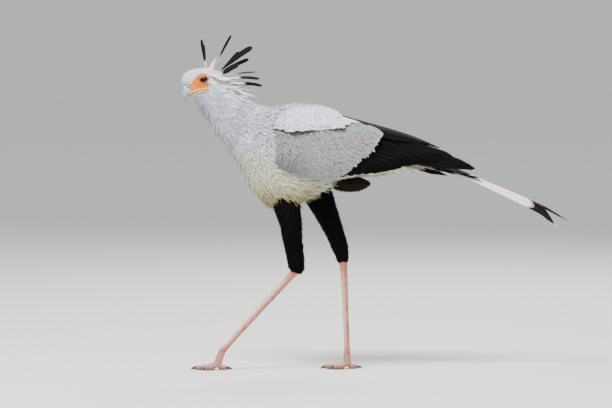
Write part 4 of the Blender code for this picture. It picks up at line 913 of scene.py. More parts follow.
# Body
def face_relief(grid, normals):
    """Moves the head's points: a bowl round each eye that holds the side under a rising edge, a ridge over
    the eye, a fleshy gape of a low ridge either side of a groove, and shallow folds round the eye. Ridges
    and groove are bell curves of the distance from their own lines."""
    x, y, z = grid[..., 0], grid[..., 1], grid[..., 2]
    brow = np.exp(-(line_distance(x, z, BROW_LINE) / BROW_RIDGE[0]) ** 2) * BROW_RIDGE[1]
    gape = line_distance(x, z, GAPE_LINE)
    ridges = np.exp(-((gape - GAPE_RIDGES[0]) / GAPE_RIDGES[1]) ** 2) * GAPE_RIDGES[2]
    ridges = ridges - np.exp(-(gape / GAPE_GROOVE[0]) ** 2) * GAPE_GROOVE[1]
    rings = np.sin(np.hypot(x - EYE[0], z - EYE[1]) * 2 * math.pi / EYE_FOLDS[0])
    folds = EYE_FOLDS[1] * rings * face_bare(grid)
    side = fade(np.abs(y), 0.006, 0.011)
    moved = grid + normals * ((brow + ridges + folds) * side)[..., None]
    turned_x = (x - EYE[0]) * math.cos(LID_SLANT) + (z - EYE[1]) * math.sin(LID_SLANT)
    turned_z = (z - EYE[1]) * math.cos(LID_SLANT) - (x - EYE[0]) * math.sin(LID_SLANT)
    ring = np.hypot(turned_x / SOCKET_HALF[0], turned_z / SOCKET_HALF[1])
    limit = EYE_SIDE + 0.0058 + 0.0065 * fade(ring, 0.85, 1.5) + 0.1 * fade(ring, 1.5, 1.6)
    moved[..., 1] = np.sign(y) * np.minimum(np.abs(moved[..., 1]), limit)
    return moved


def body_hide():
    """The skin's sleeve: the body's outer sleeve drawn in along its normals by the coat's depth, and not at
    all where the face is bare. The table has the rows' numbers for every ring."""
    spots = [k + np.arange(n) / n for k, n in enumerate(BODY_FINENESS)]
    spots = np.concatenate(spots + [[len(BODY_FINENESS)]])
    table = curve(BODY_ROWS, spots)
    grid = profile_grid(table, BODY_SIDES, table[:, SQUARENESS])
    normals = Hide(grid).normals
    grid = grid - normals * (table[:, DEPTH, None] * (1.0 - face_bare(grid)))[..., None]
    return Hide(face_relief(grid, normals)), table, spots


def leg_path(table, start, end, low, high):
    """A leg's middle line: x and z from its rows, sideways from one side to the other with the height."""
    share = np.clip((table[:, 1] - low) / (high - low), 0.0, 1.0)
    return np.stack([table[:, 0], end + (start - end) * share, table[:, 1]], axis=-1)


def thigh_grid(side):
    """A thigh's rings square to its middle line, smaller all round by the depth of its coat."""
    table = smooth(THIGH_ROWS[side] + [TARSUS_ROWS[side][1][:2] + THIGH_END], 16)
    path = leg_path(table, HIP_SIDE, ANKLE_SIDE, ANKLE_LEVEL, HIP_LEVEL) * (1, SIDES[side], 1)
    return tube_grid(path, table[:, 2] - THIGH_COAT, table[:, 3] - THIGH_COAT, 56)


def vent_grid():
    """The dark lobe under the tail: the body's kind of sections, slimmer and higher by its plumes' depth."""
    return profile_grid(smooth(VENT_ROWS, 10), 40) * (1, 0.8, 1) + (0, 0, 0.003)


def arm_grid(sign):
    """The folded arm under the coverts: ellipses just inside the cloak's side, which shrink to both ends
    with the root of a sine of the length."""
    table = smooth(CLOAK_ROWS, 4)
    table = table[(table[:, 0] > ARM_ENDS[0]) & (table[:, 0] < ARM_ENDS[1])]
    close = np.sin(np.pi * np.linspace(0.02, 0.98, len(table))) ** 0.5
    turn = np.arange(ARM_SIDES) * 2 * math.pi / ARM_SIDES
    middle = 0.62 * table[:, 1] + 0.38 * table[:, 2] - 0.03
    height = (table[:, 1] - table[:, 2]) * 0.36 * close
    z = middle[:, None] + height[:, None] * np.cos(turn)
    y = sign * (table[:, 3, None] - 0.022 + 0.016 * close[:, None] * np.sin(turn))
    return np.stack([np.broadcast_to(table[:, 0:1], z.shape), y, z], axis=-1)


def make_skin(hide, material):
    """Body, thighs, arms and vent joined as one skin, with marks on its points: bare, orange and pink shares
    of the face, dark under the thighs' feathers and in the gape, and the plumage's own."""
    others = [loose_sleeve("thigh", thigh_grid(side)) for side in SIDES]
    others += [loose_sleeve("arm", arm_grid(sign)) for sign in SIDES.values()]
    others.append(loose_sleeve("vent", vent_grid()))
    mesh = union(loose_sleeve("trunk", hide.points), others)
    mesh.name = "skin"
    points = read_points(mesh)
    x, z = points[:, 0], points[:, 2]
    bare = face_bare(points)
    gape = line_distance(x, z, GAPE_LINE)
    front, under = (strength * np.exp(-((x - middle_x) / reach_x) ** 2 - ((z - middle_z) / reach_z) ** 2)
                    for middle_x, middle_z, reach_x, reach_z, strength in ORANGE_SPOTS)
    orange = np.clip(0.74 + np.maximum(front, under), 0, 1) * fade(gape, 0.0040, 0.0070)
    streak = fade(patch_depth(x, z, EYE_STREAK), -0.001, 0.001)
    over = fade(z, 0.8500, 0.8545) * fade(x, -0.520, -0.512)
    behind = fade(x, -0.4905, -0.4870) * fade(z, 0.822, 0.830)
    dark = fade(z, 0.476, 0.466) * ((np.abs(x + 0.25) < 0.06) | (np.abs(x + 0.14) < 0.07))
    mouth = fade(gape, 0.0022, 0.0003) * bare
    pink = np.maximum(np.maximum(over, behind), streak)
    write_vector(mesh, "face", np.stack([bare, orange, pink], axis=-1))
    write_vector(mesh, "marks", body_marks(points))
    write_vector(mesh, "dark", np.stack([dark, mouth, 0 * dark], axis=-1))
    mesh.shade_smooth()
    nodes = ["head", "neck", "torso", "tail", "vent_feathers", "thigh_left", "thigh_right", "wing_left",
             "wing_right"]
    add_piece("skin", mesh, material, nodes)


def lance(rows, fullest=0.45):
    """A lancet outline: a sine up to its fullest part, then a power of a cosine down to a fine tip."""
    s = np.linspace(0.0, 1.0, rows)
    rise = np.sin(np.pi * np.clip(s / (2 * fullest), 0, 0.5))
    fall = np.cos(np.pi * np.clip((s - fullest) / (2 * (1 - fullest)), 0, 0.5)) ** 0.8
    return np.maximum(np.where(s < fullest, 0.30 + 0.70 * rise, fall), 0.06)


def leaf(rows, point=0.55):
    """A covert's outline: a smooth step up from a narrow root, and another down to a soft point."""
    s = np.linspace(0.0, 1.0, rows)
    return 0.35 + 0.65 * fade(s, 0.0, 0.40) - point * fade(s, 0.55, 1.05)


def sword(rows):
    """A flight feather's outline: a sine up from a slim root to an even blade, and a smooth step down to a
    blunt point."""
    s = np.linspace(0.0, 1.0, rows)
    return 0.45 + 0.55 * np.sin(np.pi * np.clip(s / 0.9, 0, 0.5)) - 0.55 * fade(s, 0.84, 1.02)


def covered_by_wing(points):
    """True where the folded wing hides the body."""
    x, z = points[..., 0], points[..., 2]
    table = np.array(CLOAK_ROWS)
    top = np.interp(x, table[:, 0], table[:, 1]) - 0.040
    bottom = np.interp(x, table[:, 0], table[:, 2]) + 0.030
    return (x > -0.265) & (x < 0.10) & (z < top) & (z > bottom)


def make_coat(hide, table, spots, material):
    """The body's feathers in zones along its length, each a piece of its own. They are combed backwards over
    the skin, from inside the coat at the root to its surface at the tip."""
    each = (table[:, LENGTH] * table[:, WIDTH])[:, None]
    shown = (1.0 - face_bare(hide.points)) * np.where(covered_by_wing(hide.points), 0.0, 1.0)
    order = spots[:, None]
    number = np.arange(hide.rows)
    for name, first, last, density, stations, shaggy, stray, columns in COAT_ZONES:
        v, u = hide.scatter(np.where((order >= first) & (order < last), shown * density / each, 0.0))
        turn = random.normal(0.0, stray, len(v)) + 0.12 * np.sin(2 * math.pi * u / hide.columns)
        length = np.interp(v, number, table[:, LENGTH]) * random.uniform(0.8, 1.2, len(v))
        width = np.interp(v, number, table[:, WIDTH]) * random.uniform(0.8, 1.25, len(v))
        depth = np.interp(v, number, table[:, DEPTH])
        lines_v, lines_u = hide.comb(v, u, length, turn, stations - 1)
        points, normals = hide.at(lines_v, lines_u)[:2]
        s = np.linspace(0.0, 1.0, stations)
        stand = depth[:, None] * (0.10 + 0.92 * s ** 0.8) * random.uniform(0.85, 1.15, (len(v), 1))
        stand = stand + shaggy * random.uniform(0.0, 1.0, (len(v), 1)) ** 4 * s ** 2
        lot = blades(points + normals * stand[..., None], normals, width, lance(stations, 0.5), columns,
                     random.uniform(0, 1, len(v)), spots=hide.unwrap(v, u), camber=0.25, thick=0.0003,
                     soft=0.75, marks=body_marks(points[:, stations // 2]))
        add_blades(name, [lot], material, ["torso"])


def loose_lot(hide, v, u, length, width, lift, pull, tint, ink_and_shade=0.0, columns=POINTED, fullest=0.4):
    """Long loose feathers: each leaves the skin along its lie and bends off it towards a pull direction, by
    the square of the share of its length."""
    start, normal, lengthwise, _ = hide.at(v, u)
    s = np.linspace(0.0, 1.0, LOOSE_STATIONS)[None, :, None]
    lie, aim = unit(lengthwise)[:, None, :], unit(pull)[:, None, :]
    path = start[:, None, :] + length[:, None, None] * (lie * (s - s ** 2 / 2) + aim * s ** 2 / 2)
    path = path + normal[:, None, :] * (0.001 + lift[:, None, None] * s ** 1.5)
    facing = np.broadcast_to(normal[:, None, :], path.shape)
    return blades(path, facing, width, lance(LOOSE_STATIONS, fullest), columns, tint, ink_and_shade, hide.unwrap(v, u),
                  camber=0.25, thick=0.0004, soft=0.6, marks=body_marks(path[:, LOOSE_STATIONS // 2]))


def make_throat(hide, spots, material):
    """Strands of the chin and foreneck, hanging loose and pointed, thickest in number along the middle."""
    count = THROAT_STRANDS
    v = np.interp(random.uniform(*THROAT_ROWS, count), spots, np.arange(hide.rows))
    u = hide.columns * (0.5 + np.clip(random.normal(0.0, 0.085, count), -0.13, 0.13))
    pull = np.stack([np.full(count, 0.02), random.normal(0, 0.10, count), np.full(count, -1.0)], axis=-1)
    length, width = random.uniform(0.020, 0.036, count), random.uniform(0.0022, 0.0042, count)
    lift = 0.0015 + 0.0075 * random.uniform(0, 1, count) ** 1.5
    lot = loose_lot(hide, v, u, length, width, lift, pull, random.uniform(0.0, 1.0, count))
    add_blades("throat_strands", [lot], material, ["head", "neck"])


def make_hackles(hide, spots, material):
    """White and grey-tipped lancets of the nape, standing back off the neck."""
    count = NAPE_HACKLES
    order = random.uniform(*HACKLE_ROWS, count)
    v = np.interp(order, spots, np.arange(hide.rows))
    u = hide.columns * random.normal(0.0, 0.085, count)
    low = fade(order, 7.0, 12.0)
    length = (0.062 - 0.020 * low) * random.uniform(0.6, 1.35, count) * fade(order, 6.0, 7.6)
    drop = 0.02 - 0.55 * low + random.normal(0, 0.10, count)
    pull = np.stack([np.full(count, 1.0), random.normal(0, 0.22, count), drop], axis=-1)
    tipped = (random.uniform(0, 1, count) < 0.22)[:, None]
    ink_and_shade = tipped * fade(np.linspace(0, 1, LOOSE_STATIONS), 0.45, 0.8) * 0.75
    width, lift = random.uniform(0.0040, 0.0095, count), random.uniform(0.001, 0.008, count)
    lot = loose_lot(hide, v, u, length, width, lift, pull, random.uniform(0.0, 1.0, count), ink_and_shade,
                    columns=ROUNDED, fullest=0.45)
    add_blades("nape_hackles", [lot], material, ["head", "neck"])


def make_flank(hide, spots, material):
    """Long soft feathers of the flanks and of the belly, loose over the tops of the thighs."""
    lots = []
    for count, first, last, low, high, drop, shortest, longest in FLANK_LOTS:
        v = np.interp(random.uniform(first, last, count), spots, np.arange(hide.rows))
        side = np.where(np.arange(count) % 2, 1.0, -1.0)
        u = hide.columns * (0.5 + side * random.uniform(low, high, count))
        pull = np.stack([np.full(count, 1.0), side * 0.12 * random.normal(0, 1, count),
                         random.normal(drop, 0.15, count)], axis=-1)
        length, width = random.uniform(shortest, longest, count), random.uniform(0.0045, 0.0080, count)
        lots.append(loose_lot(hide, v, u, length, width, random.uniform(0.004, 0.012, count), pull,
                              random.uniform(0.0, 1.0, count), fullest=0.35))
    add_blades("flank_tufts", lots, material, ["torso"])


def dark_lot(hide, v, u, length, stray, stand, shag, width, spread, least=1.0, **more):
    """Short dark feathers combed over a limb. Each stands off it by a start plus a rise with a power of the
    share of its length, and a few by much more. They lie closer by a least share at the limb's end."""
    count = len(v)
    lines_v, lines_u = hide.comb(v, u, length, random.normal(0.0, stray, count), DARK_STATIONS - 1)
    points, normals = hide.at(lines_v, lines_u)[:2]
    s = np.linspace(0.0, 1.0, DARK_STATIONS)
    off = stand[0] + stand[1] * s ** 0.8 + shag[0] * random.uniform(0, 1, (count, 1)) ** shag[1] * s ** 2
    off *= least + (1.0 - least) * np.clip((1.0 - lines_v / hide.rows) / 0.10, 0.0, 1.0)
    return blades(points + normals * off[..., None], normals, width * random.uniform(*spread, count),
                  lance(DARK_STATIONS), POINTED, random.uniform(0, 1, count), spots=hide.unwrap(v, u),
                  camber=0.25, **more)


def make_thigh_coat(material):
    """Short black feathers down each thigh, seven and a half deep, that lie closer and end at the ankle."""
    for side in SIDES:
        hide = Hide(thigh_grid(side))
        share = np.arange(hide.rows) / (hide.rows - 1)
        v, u = hide.scatter(np.where(share > 0.02, 7.5 / (0.020 * 0.0050), 0.0)[:, None])
        length = 0.023 * random.uniform(0.7, 1.25, len(v))
        length = np.minimum(length, 0.007 + (1.0 - v / hide.rows) * 0.20)
        lot = dark_lot(hide, v, u, length, 0.18, (0.0006, 0.0040), (0.0055, 4), 0.0050, (0.8, 1.25), 0.2,
                       thick=0.0003, soft=0.5)
        add_blades(f"thigh_feathers_{side}", [lot], material, [f"thigh_{side}"])


def make_vent_coat(material):
    """Dark brown feathers over the lobe under the tail, nine deep."""
    hide = Hide(vent_grid())
    v, u = hide.scatter(np.full((hide.rows, hide.columns), 9.0 / (0.026 * 0.006)))
    v = v * 0.86
    length = 0.026 * random.uniform(0.6, 1.2, len(v))
    lot = dark_lot(hide, v, u, length, 0.3, (0.0005, 0.0035), (0.006, 3), 0.0055, (0.8, 1.2), thick=0.0004)
    add_blades("vent_plumes", [lot], material, ["vent_feathers"])


# Wings
def cloak_hide():
    """Sections across the folded wings: from the midline a squared arc out to the side, half width times a
    power of a sine and half height times a power of a cosine, then down the side with a slight tuck to
    the lower edge, then straight in."""
    table = smooth(CLOAK_ROWS, CLOAK_STEPS)
    turn = np.arange(CLOAK_SIDES) / CLOAK_SIDES
    share = 1 - np.abs(1 - 2 * turn)
    arc = np.clip(share / SIDE_SHARE, 0, 1) * np.pi / 2
    below = np.clip((share - SIDE_SHARE) / (LIP_SHARE - SIDE_SHARE), 0, 1) * LIP_REACH
    under = np.clip((share - LIP_SHARE) / (1 - LIP_SHARE), 0, 1)
    out = np.sin(arc) ** CLOAK_POWERS[0] * (1 - TUCK * below ** 3) * (1 - under)
    out = out * np.where(turn < 0.5, 1, -1)
    up = np.cos(arc) ** CLOAK_POWERS[1] - below
    middle, half = (table[:, 1] + table[:, 2]) / 2, (table[:, 1] - table[:, 2]) / 2
    z = middle[:, None] + half[:, None] * up
    return Hide(np.stack([np.broadcast_to(table[:, 0:1], z.shape), table[:, 3:4] * out, z], axis=-1)), table


def cloak_place(table, x, z, sign):
    """Row and column of the cloak at a place in side view, on the bird's left (-1) or right (+1): the
    sections' own formula turned round."""
    v = np.interp(x, table[:, 0], np.arange(len(table)))
    top, bottom = np.interp(x, table[:, 0], table[:, 1]), np.interp(x, table[:, 0], table[:, 2])
    off = (2 * z - top - bottom) / (top - bottom)
    arc = np.arccos(np.clip(off, 0, 1) ** (1 / CLOAK_POWERS[1]))
    above = SIDE_SHARE * arc / (np.pi / 2)
    below = SIDE_SHARE + (LIP_SHARE - SIDE_SHARE) * np.clip(-off / LIP_REACH, 0, 1)
    return v, sign * np.where(off > 0, above, below) / 2 * CLOAK_SIDES


def cloak_lot(cloak, root, tip, sign, stations, sink, lift, width, outline, columns, tint, ink_and_shade=0.0, **more):
    """Feathers over the cloak along straight lines in side view, sunk at the root and lifted at the tip."""
    hide, table = cloak
    s = np.linspace(0.0, 1.0, stations)
    x = root[:, 0:1] * (1 - s) + tip[:, 0:1] * s
    z = root[:, 1:2] * (1 - s) + tip[:, 1:2] * s
    z = np.minimum(z, np.interp(x, table[:, 0], table[:, 1]) - RIDGE_GAP)
    v, u = cloak_place(table, x, z, sign)
    points, normals = hide.at(v, u)[:2]
    stand = np.asarray(lift)[..., None] * s - sink * (1 - s) ** 1.4
    return blades(points + normals * stand[..., None], normals, width, outline, columns, tint, ink_and_shade,
                  hide.unwrap(v[:, 0], u[:, 0]), **more)


def fold_height(x):
    """Height of the dark fold at a place along the bird."""
    return np.interp(x, [spot[0] for spot in FOLD_LINE], [spot[1] for spot in FOLD_LINE])


def side_spots(cloak, corners, spacing, sign):
    """Evenly spread places of the cloak whose side view falls inside a patch, on one side of the bird."""
    hide = cloak[0]
    inside = patch_depth(hide.points[..., 0], hide.points[..., 2], corners) > 0
    inside &= (hide.points[..., 1] * sign >= 0) & (hide.normals[..., 2] > -0.6)
    return hide.scatter(np.where(inside, 1.0 / spacing ** 2, 0.0))


def fan_heading(tip):
    """Lie of the coverts: straight away from a point above the shoulder, a little astray."""
    away = unit(tip - np.array(FAN_APEX))
    turn = random.normal(0.0, 0.07, len(tip))
    return np.stack([away[:, 0] * np.cos(turn) - away[:, 1] * np.sin(turn),
                     away[:, 0] * np.sin(turn) + away[:, 1] * np.cos(turn)], axis=-1)


def make_coverts(cloak, side, sign, material):
    """Narrow coverts fanned from the shoulder: tips spread over the grey panel, and a close fringe along its
    lower and rear edge. Painted shade darkens them low in front and in the fold under the scapulars."""
    v, u = side_spots(cloak, COVERT_PATCH, COVERT_SPACING, sign)
    spread = cloak[0].at(v, u)[0][:, [0, 2]]
    share = (np.arange(COVERT_FRINGE) + random.uniform(0.0, 1.0, COVERT_FRINGE)) / COVERT_FRINGE
    fringe = along(COVERT_EDGE, share)
    ragged = random.normal(-0.002, 0.0035, COVERT_FRINGE)[:, None]
    fringe = fringe + unit(fringe - np.array(FAN_APEX)) * ragged
    tip = np.vstack([spread, fringe])
    count = len(tip)
    rear = fade(tip[:, 0], -0.285, -0.150)
    length = (0.026 + 0.032 * rear) * random.uniform(0.85, 1.2, count)
    width = (0.0098 + 0.0056 * rear) * random.uniform(0.8, 1.2, count)
    root = tip - fan_heading(tip) * length[:, None]
    root[:, 0] = np.maximum(root[:, 0], CLOAK_FRONT)
    lift = random.uniform(0.0005, 0.0030, count) - 0.0012 * (np.arange(count) >= len(spread))
    # Painted shade low on the wing's front and along its lower edge, where the wing turns down from the
    # light
    low = 0.32 * fade(tip[:, 0], -0.17, -0.26) * fade(tip[:, 1], 0.640, 0.590)
    low = low + 0.10 * fade(tip[:, 1], 0.60, 0.56)
    s = np.linspace(0.0, 1.0, COVERT_STATIONS)
    x, z = (root[:, k, None] * (1 - s) + tip[:, k, None] * s for k in (0, 1))
    # Painted shade in the fold: coverts just under the scapulars' lip are darkened
    under = fold_height(x) - z
    folds = fade(x, -0.17, -0.19) + fade(x, -0.145, -0.135) * fade(x, -0.085, -0.095)
    ink_and_shade = np.maximum(low[:, None], 0.85 * fade(under, 0.011, 0.003) * folds)
    lot = cloak_lot(cloak, root, tip, sign, COVERT_STATIONS, 0.0035, lift, width, leaf(COVERT_STATIONS),
                    SHAFTED, random.uniform(0, 1, count), ink_and_shade, **SMALL_BLADE)
    add_blades(f"coverts_{side}", [lot], material, [f"wing_{side}"])


def make_scapulars(cloak, side, sign, material):
    """Shoulder and back feathers above the fold, longer towards the rear. On the side they slope down to the
    rear; over the back they follow the cloak's own length."""
    hide = cloak[0]
    v, u = side_spots(cloak, MANTLE_PATCH, SCAPULAR_SPACING, sign)
    tip = hide.at(v, u)[0][:, [0, 2]]
    fold = fold_height(tip[:, 0])
    rise = fade(tip[:, 1], fold, fold + 0.045)
    rear = fade(tip[:, 0], -0.26, -0.10)
    length = (0.036 + 0.028 * rear) * random.uniform(0.8, 1.25, len(tip))
    width = (0.0105 + 0.0035 * rear) * random.uniform(0.8, 1.2, len(tip))
    lift = 0.0066 - 0.0046 * rise + random.uniform(0.0, 0.0020, len(tip))
    tint = random.uniform(0, 1, len(tip))
    low = rise < 0.6
    slope = math.radians(17) * (1 - 0.7 * rise[low]) + random.normal(0.0, 0.08, low.sum())
    root = tip[low] - np.stack([np.cos(slope), -np.sin(slope)], axis=-1) * length[low, None]
    root[:, 0] = np.maximum(root[:, 0], CLOAK_FRONT)
    laid = cloak_lot(cloak, root, tip[low], sign, COVERT_STATIONS, 0.002, lift[low], width[low],
                     leaf(COVERT_STATIONS), SHAFTED, tint[low], **SMALL_BLADE)
    high = ~low & (tip[:, 0] > CLOAK_FRONT + 0.010)
    reach = np.minimum(length[high], (tip[high, 0] - CLOAK_FRONT) * 0.9)
    turn = random.normal(0.0, 0.06, high.sum())
    lines_v, lines_u = hide.comb(v[high], u[high], -reach, turn, COVERT_STATIONS - 1)
    points, normals = hide.at(lines_v[:, ::-1], lines_u[:, ::-1])[:2]
    s = np.linspace(0.0, 1.0, COVERT_STATIONS)
    stand = lift[high, None] * s - 0.002 * (1 - s)
    over = blades(points + normals * stand[..., None], normals, width[high], leaf(COVERT_STATIONS), SHAFTED,
                  tint[high], 0.0, hide.unwrap(v[high], u[high]), **SMALL_BLADE)
    add_blades(f"scapulars_{side}", [laid, over], material, [f"wing_{side}"])


def free_lot(root, middle, tip, face, stations, width, outline, tint, ink_and_shade=0.0, **more):
    """Feathers in the open, each along the quadratic curve through its root, middle and tip, and facing one
    way."""
    s = np.linspace(0.0, 1.0, stations)[None, :, None]
    bend = 2 * middle - (root + tip) / 2
    path = root[:, None] * (1 - s) ** 2 + 2 * bend[:, None] * s * (1 - s) + tip[:, None] * s ** 2
    facing = np.broadcast_to(face[:, None], path.shape)
    return blades(path, facing, width, outline, WIDE, tint, ink_and_shade, soft=0.3, **more)


def row_points(points, roots, count):
    """Tips along a line of points, roots evenly between two, and each feather's share of the row."""
    share = np.linspace(0.0, 1.0, count)
    first, last = np.array(roots[0]), np.array(roots[1])
    return along(points, share), first * (1 - share[:, None]) + last * share[:, None], share


def make_flight(cloak, side, sign, material):
    """Secondaries on the side, primaries under them, tertials over the back."""
    outline = sword(FLIGHT_STATIONS)
    tip, root, share = row_points(SECONDARY_TIPS, SECONDARY_ROOTS, SECONDARIES)
    lots = [cloak_lot(cloak, root, tip, sign, FLIGHT_STATIONS, 0.016, -0.0055 + 0.0030 * share,
                      np.full(SECONDARIES, SECONDARY_WIDTH), outline, WIDE,
                      random.uniform(0, 1, SECONDARIES), **LARGE_BLADE)]
    tip, root, share = row_points(PRIMARY_TIPS, PRIMARY_ROOTS, PRIMARIES)
    start = np.column_stack([root[:, 0], sign * (0.052 + 0.004 * share), root[:, 1]])
    end = np.column_stack([tip[:, 0], sign * (0.0365 - 0.003 * share), tip[:, 1]])
    face = np.tile(unit(np.array((0.0, sign, 0.1))), (PRIMARIES, 1))
    lots.append(free_lot(start, (start + end) / 2 + (0.0, 0.0, 0.004), end, face, FLIGHT_STATIONS,
                         np.full(PRIMARIES, PRIMARY_WIDTH), outline, random.uniform(0, 1, PRIMARIES),
                         **LARGE_BLADE))
    tip, root, share = row_points(TERTIAL_TIPS, TERTIAL_ROOTS, TERTIALS)
    start = np.column_stack([root[:, 0], sign * root[:, 2], root[:, 1]])
    end = np.column_stack([tip[:, 0], sign * tip[:, 2], tip[:, 1]])
    face = unit(np.column_stack([0 * share, sign * (0.25 + 0.5 * share), np.full(TERTIALS, 0.85)]))
    lots.append(free_lot(start, (start + end) / 2 + (0.0, sign * 0.008, 0.005), end, face, FLIGHT_STATIONS,
                         np.full(TERTIALS, TERTIAL_WIDTH), outline, random.uniform(0, 1, TERTIALS),
                         **LARGE_BLADE))
    add_blades(f"flight_feathers_{side}", lots, material, [f"wing_{side}"], patch=None)


# Tail and crest
def make_tail(material):
    """Five pairs that shorten outwards, each with a dark band before a pale tip, then the two long middle
    feathers, whose facing is turned round their own line by the square of the share of the length."""
    lots = []
    s = np.linspace(0.0, 1.0, TAIL_STATIONS)
    band = (fade(s, 0.52, 0.60) * (1.0 - fade(s, 0.95, 0.985)))[None, :]
    for rank, (x, z, spacing, width) in enumerate(TAIL_TIPS):
        for sign in (-1.0, 1.0):
            root = np.array([[TAIL_ROOT[0], sign * 0.011, TAIL_ROOT[1] - 0.0052 * rank]])
            tip = np.array([[x - 0.004 * (sign > 0), sign * spacing, z]])
            face = unit(np.array([[0.0, TAIL_ROLL * sign, 1.0]]))
            lots.append(free_lot(root, (root + tip) / 2 + (0, 0, 0.006), tip, face, TAIL_STATIONS,
                                 np.full(1, width), sword(TAIL_STATIONS), random.uniform(0, 1, 1), band,
                                 **LARGE_BLADE))
    for side, sign in SIDES.items():
        share = np.linspace(0.0, 1.0, STREAMER_STATIONS)
        flat = along(smooth(STREAMERS[side], 16), share)
        path = np.column_stack([flat[:, 0], sign * (0.011 + 0.003 * share), flat[:, 1]])
        run = unit(np.gradient(path, axis=0))
        face = np.tile(np.array((0.0, TAIL_ROLL * sign, 1.0)), (STREAMER_STATIONS, 1))
        face = unit(face - run * (face * run).sum(axis=1)[:, None])
        twist = (STREAMER_TWIST[side] * share ** 2)[:, None]
        normal = face * np.cos(twist) - np.cross(run, face) * np.sin(twist)
        ink_and_shade = (fade(share, 0.800, 0.825) * (1.0 - fade(share, 0.978, 0.992)))[None, :]
        lots.append(blades(path[None], normal[None], np.full(1, STREAMER_WIDTH), sword(STREAMER_STATIONS),
                           WIDE, random.uniform(0, 1, 1), ink_and_shade, soft=0.3, **LARGE_BLADE))
    add_blades("tail_feathers", lots, material, ["tail"], patch=None)


def make_crest(material):
    """Plumes of the nape: a smooth step up from a slim root to a full blade, whose last seventh is rounded
    like a circle. Where dark never begins, a white lancet that narrows with a power of its length."""
    lots = []
    s = np.linspace(0.0, 1.0, PLUME_STATIONS)
    for root_x, root_z, tip_x, tip_z, root_y, tip_y, width, turn, start, full in CREST:
        root, tip = np.array([[root_x, root_y, root_z]]), np.array([[tip_x, tip_y, tip_z]])
        middle = (root + tip) / 2 + (0.0, 0.0, 0.05 * np.linalg.norm(tip - root))
        side = -1.0 if tip_y < 0 else 1.0
        angle = math.radians(turn)
        face = np.array([[0.0, side * math.cos(angle), math.sin(angle)]])
        outline = (0.18 + 0.82 * fade(s, 0.02, full)) * np.sqrt(1.02 - np.clip((s - 0.86) / 0.14, 0, 1) ** 2)
        if start > 1.0:
            outline = np.maximum(0.1, 1.0 - s ** 1.5)
        ink_and_shade = fade(s, start - 0.06, start + 0.10)[None, :]
        lots.append(free_lot(root, middle, tip, face, PLUME_STATIONS, np.full(1, width), outline,
                             random.uniform(0, 1, 1), ink_and_shade, jag=0.012, camber=0.12, shaft=0.0004,
                             thick=0.0004))
    add_blades("crest_plumes", lots, material, ["head"], patch=None)


# Head details
def make_bill(material):
    """The upper bill with its swollen cere, dented nostrils and a fleshy lower edge, and the lower bill.

    The nostril's dent is a bell of the fourth power of the distance along it and the square of that across.
    """
    grid = profile_grid(smooth(BILL_ROWS, 20), 112)
    hide = Hide(grid)
    x, z = grid[..., 0], grid[..., 2]
    ahead, above = x - NOSTRIL[0], z - NOSTRIL[1]
    lengthwise = (ahead * math.cos(NOSTRIL_TILT) - above * math.sin(NOSTRIL_TILT)) / NOSTRIL_HALF[0]
    across = (ahead * math.sin(NOSTRIL_TILT) + above * math.cos(NOSTRIL_TILT)) / NOSTRIL_HALF[1]
    hole = np.exp(-(lengthwise ** 4 + across ** 2)) * (np.abs(grid[..., 1]) > 0.004)
    share = np.linspace(0.0, 1.0, len(grid))[:, None] + 0 * x
    cere = fade(share, 0.36, 0.28)
    flesh = fade(share, 0.30, 0.12) * fade(line_distance(x, z, GAPE_LINE), 0.006, 0.002)
    grid = grid + hide.normals * (0.0006 * cere - 0.0022 * hole)[..., None]
    points, quads, tris = closed_sleeve(grid)
    # Second mark: painted shade in the nostril's dent
    marks = np.stack([cere * 0.7, np.minimum(hole * 2.2, 1.0), flesh], axis=-1).reshape(-1, 3)
    mesh = new_mesh("bill_upper", points, quads, tris, {"face": np.vstack([marks, marks[0], marks[-1]])})
    add_piece("upper_bill", mesh, material, ["bill_upper"])
    points, quads, tris = closed_sleeve(profile_grid(smooth(JAW_ROWS, 10), 48))
    pale = fade(points[:, 0], -0.536, -0.524)
    marks = np.stack([0 * pale, 0 * pale, pale * 0.8], axis=-1)
    mesh = new_mesh("bill_lower", points, quads, tris, {"face": marks})
    add_piece("lower_bill", mesh, material, ["bill_lower"])


def make_eyes(material):
    """Eyeballs as grids of latitude and longitude round the sight line, with a low corneal swell."""
    for side, sign in SIDES.items():
        away = np.linspace(0.0, math.pi, 48)[1:-1, None]
        turn = (np.arange(64) * 2 * math.pi / 64)[None, :]
        radius = EYE_RADIUS * (1.0 + 0.03 * np.exp(-(away / 0.5) ** 2))
        local = np.stack([radius * np.sin(away) * np.cos(turn), radius * np.cos(away) + 0 * turn,
                          radius * np.sin(away) * np.sin(turn)], axis=-1)
        points, quads, tris = closed_sleeve(local * (1, sign, 1) + (EYE[0], sign * EYE_SIDE, EYE[1]))
        iris = np.arccos(np.clip((points[:, 1] * sign - EYE_SIDE) / EYE_RADIUS, -1, 1))
        mesh = new_mesh("eye", points, quads, tris, {"iris": np.stack([iris, iris, iris], axis=-1)})
        add_piece(f"eyeball_{side}", mesh, material, [f"eye_{side}"])


def lid_place(turn, radial, out, sign):
    """A place on the lids: an ellipse turned by the eye's slant, grown outwards by a radial distance, which
    stands off the eye's middle less a bend with the square of a cosine."""
    x = (LID_HALF[0] + radial) * np.cos(turn)
    z = (LID_HALF[1] + radial) * np.sin(turn)
    y = LID_OUT - LID_BEND * np.cos(turn) ** 2 + out
    slanted_x = x * math.cos(LID_SLANT) - z * math.sin(LID_SLANT)
    slanted_z = x * math.sin(LID_SLANT) + z * math.cos(LID_SLANT)
    return np.stack([slanted_x + EYE[0], sign * (y + EYE_SIDE), slanted_z + EYE[1]], axis=-1)


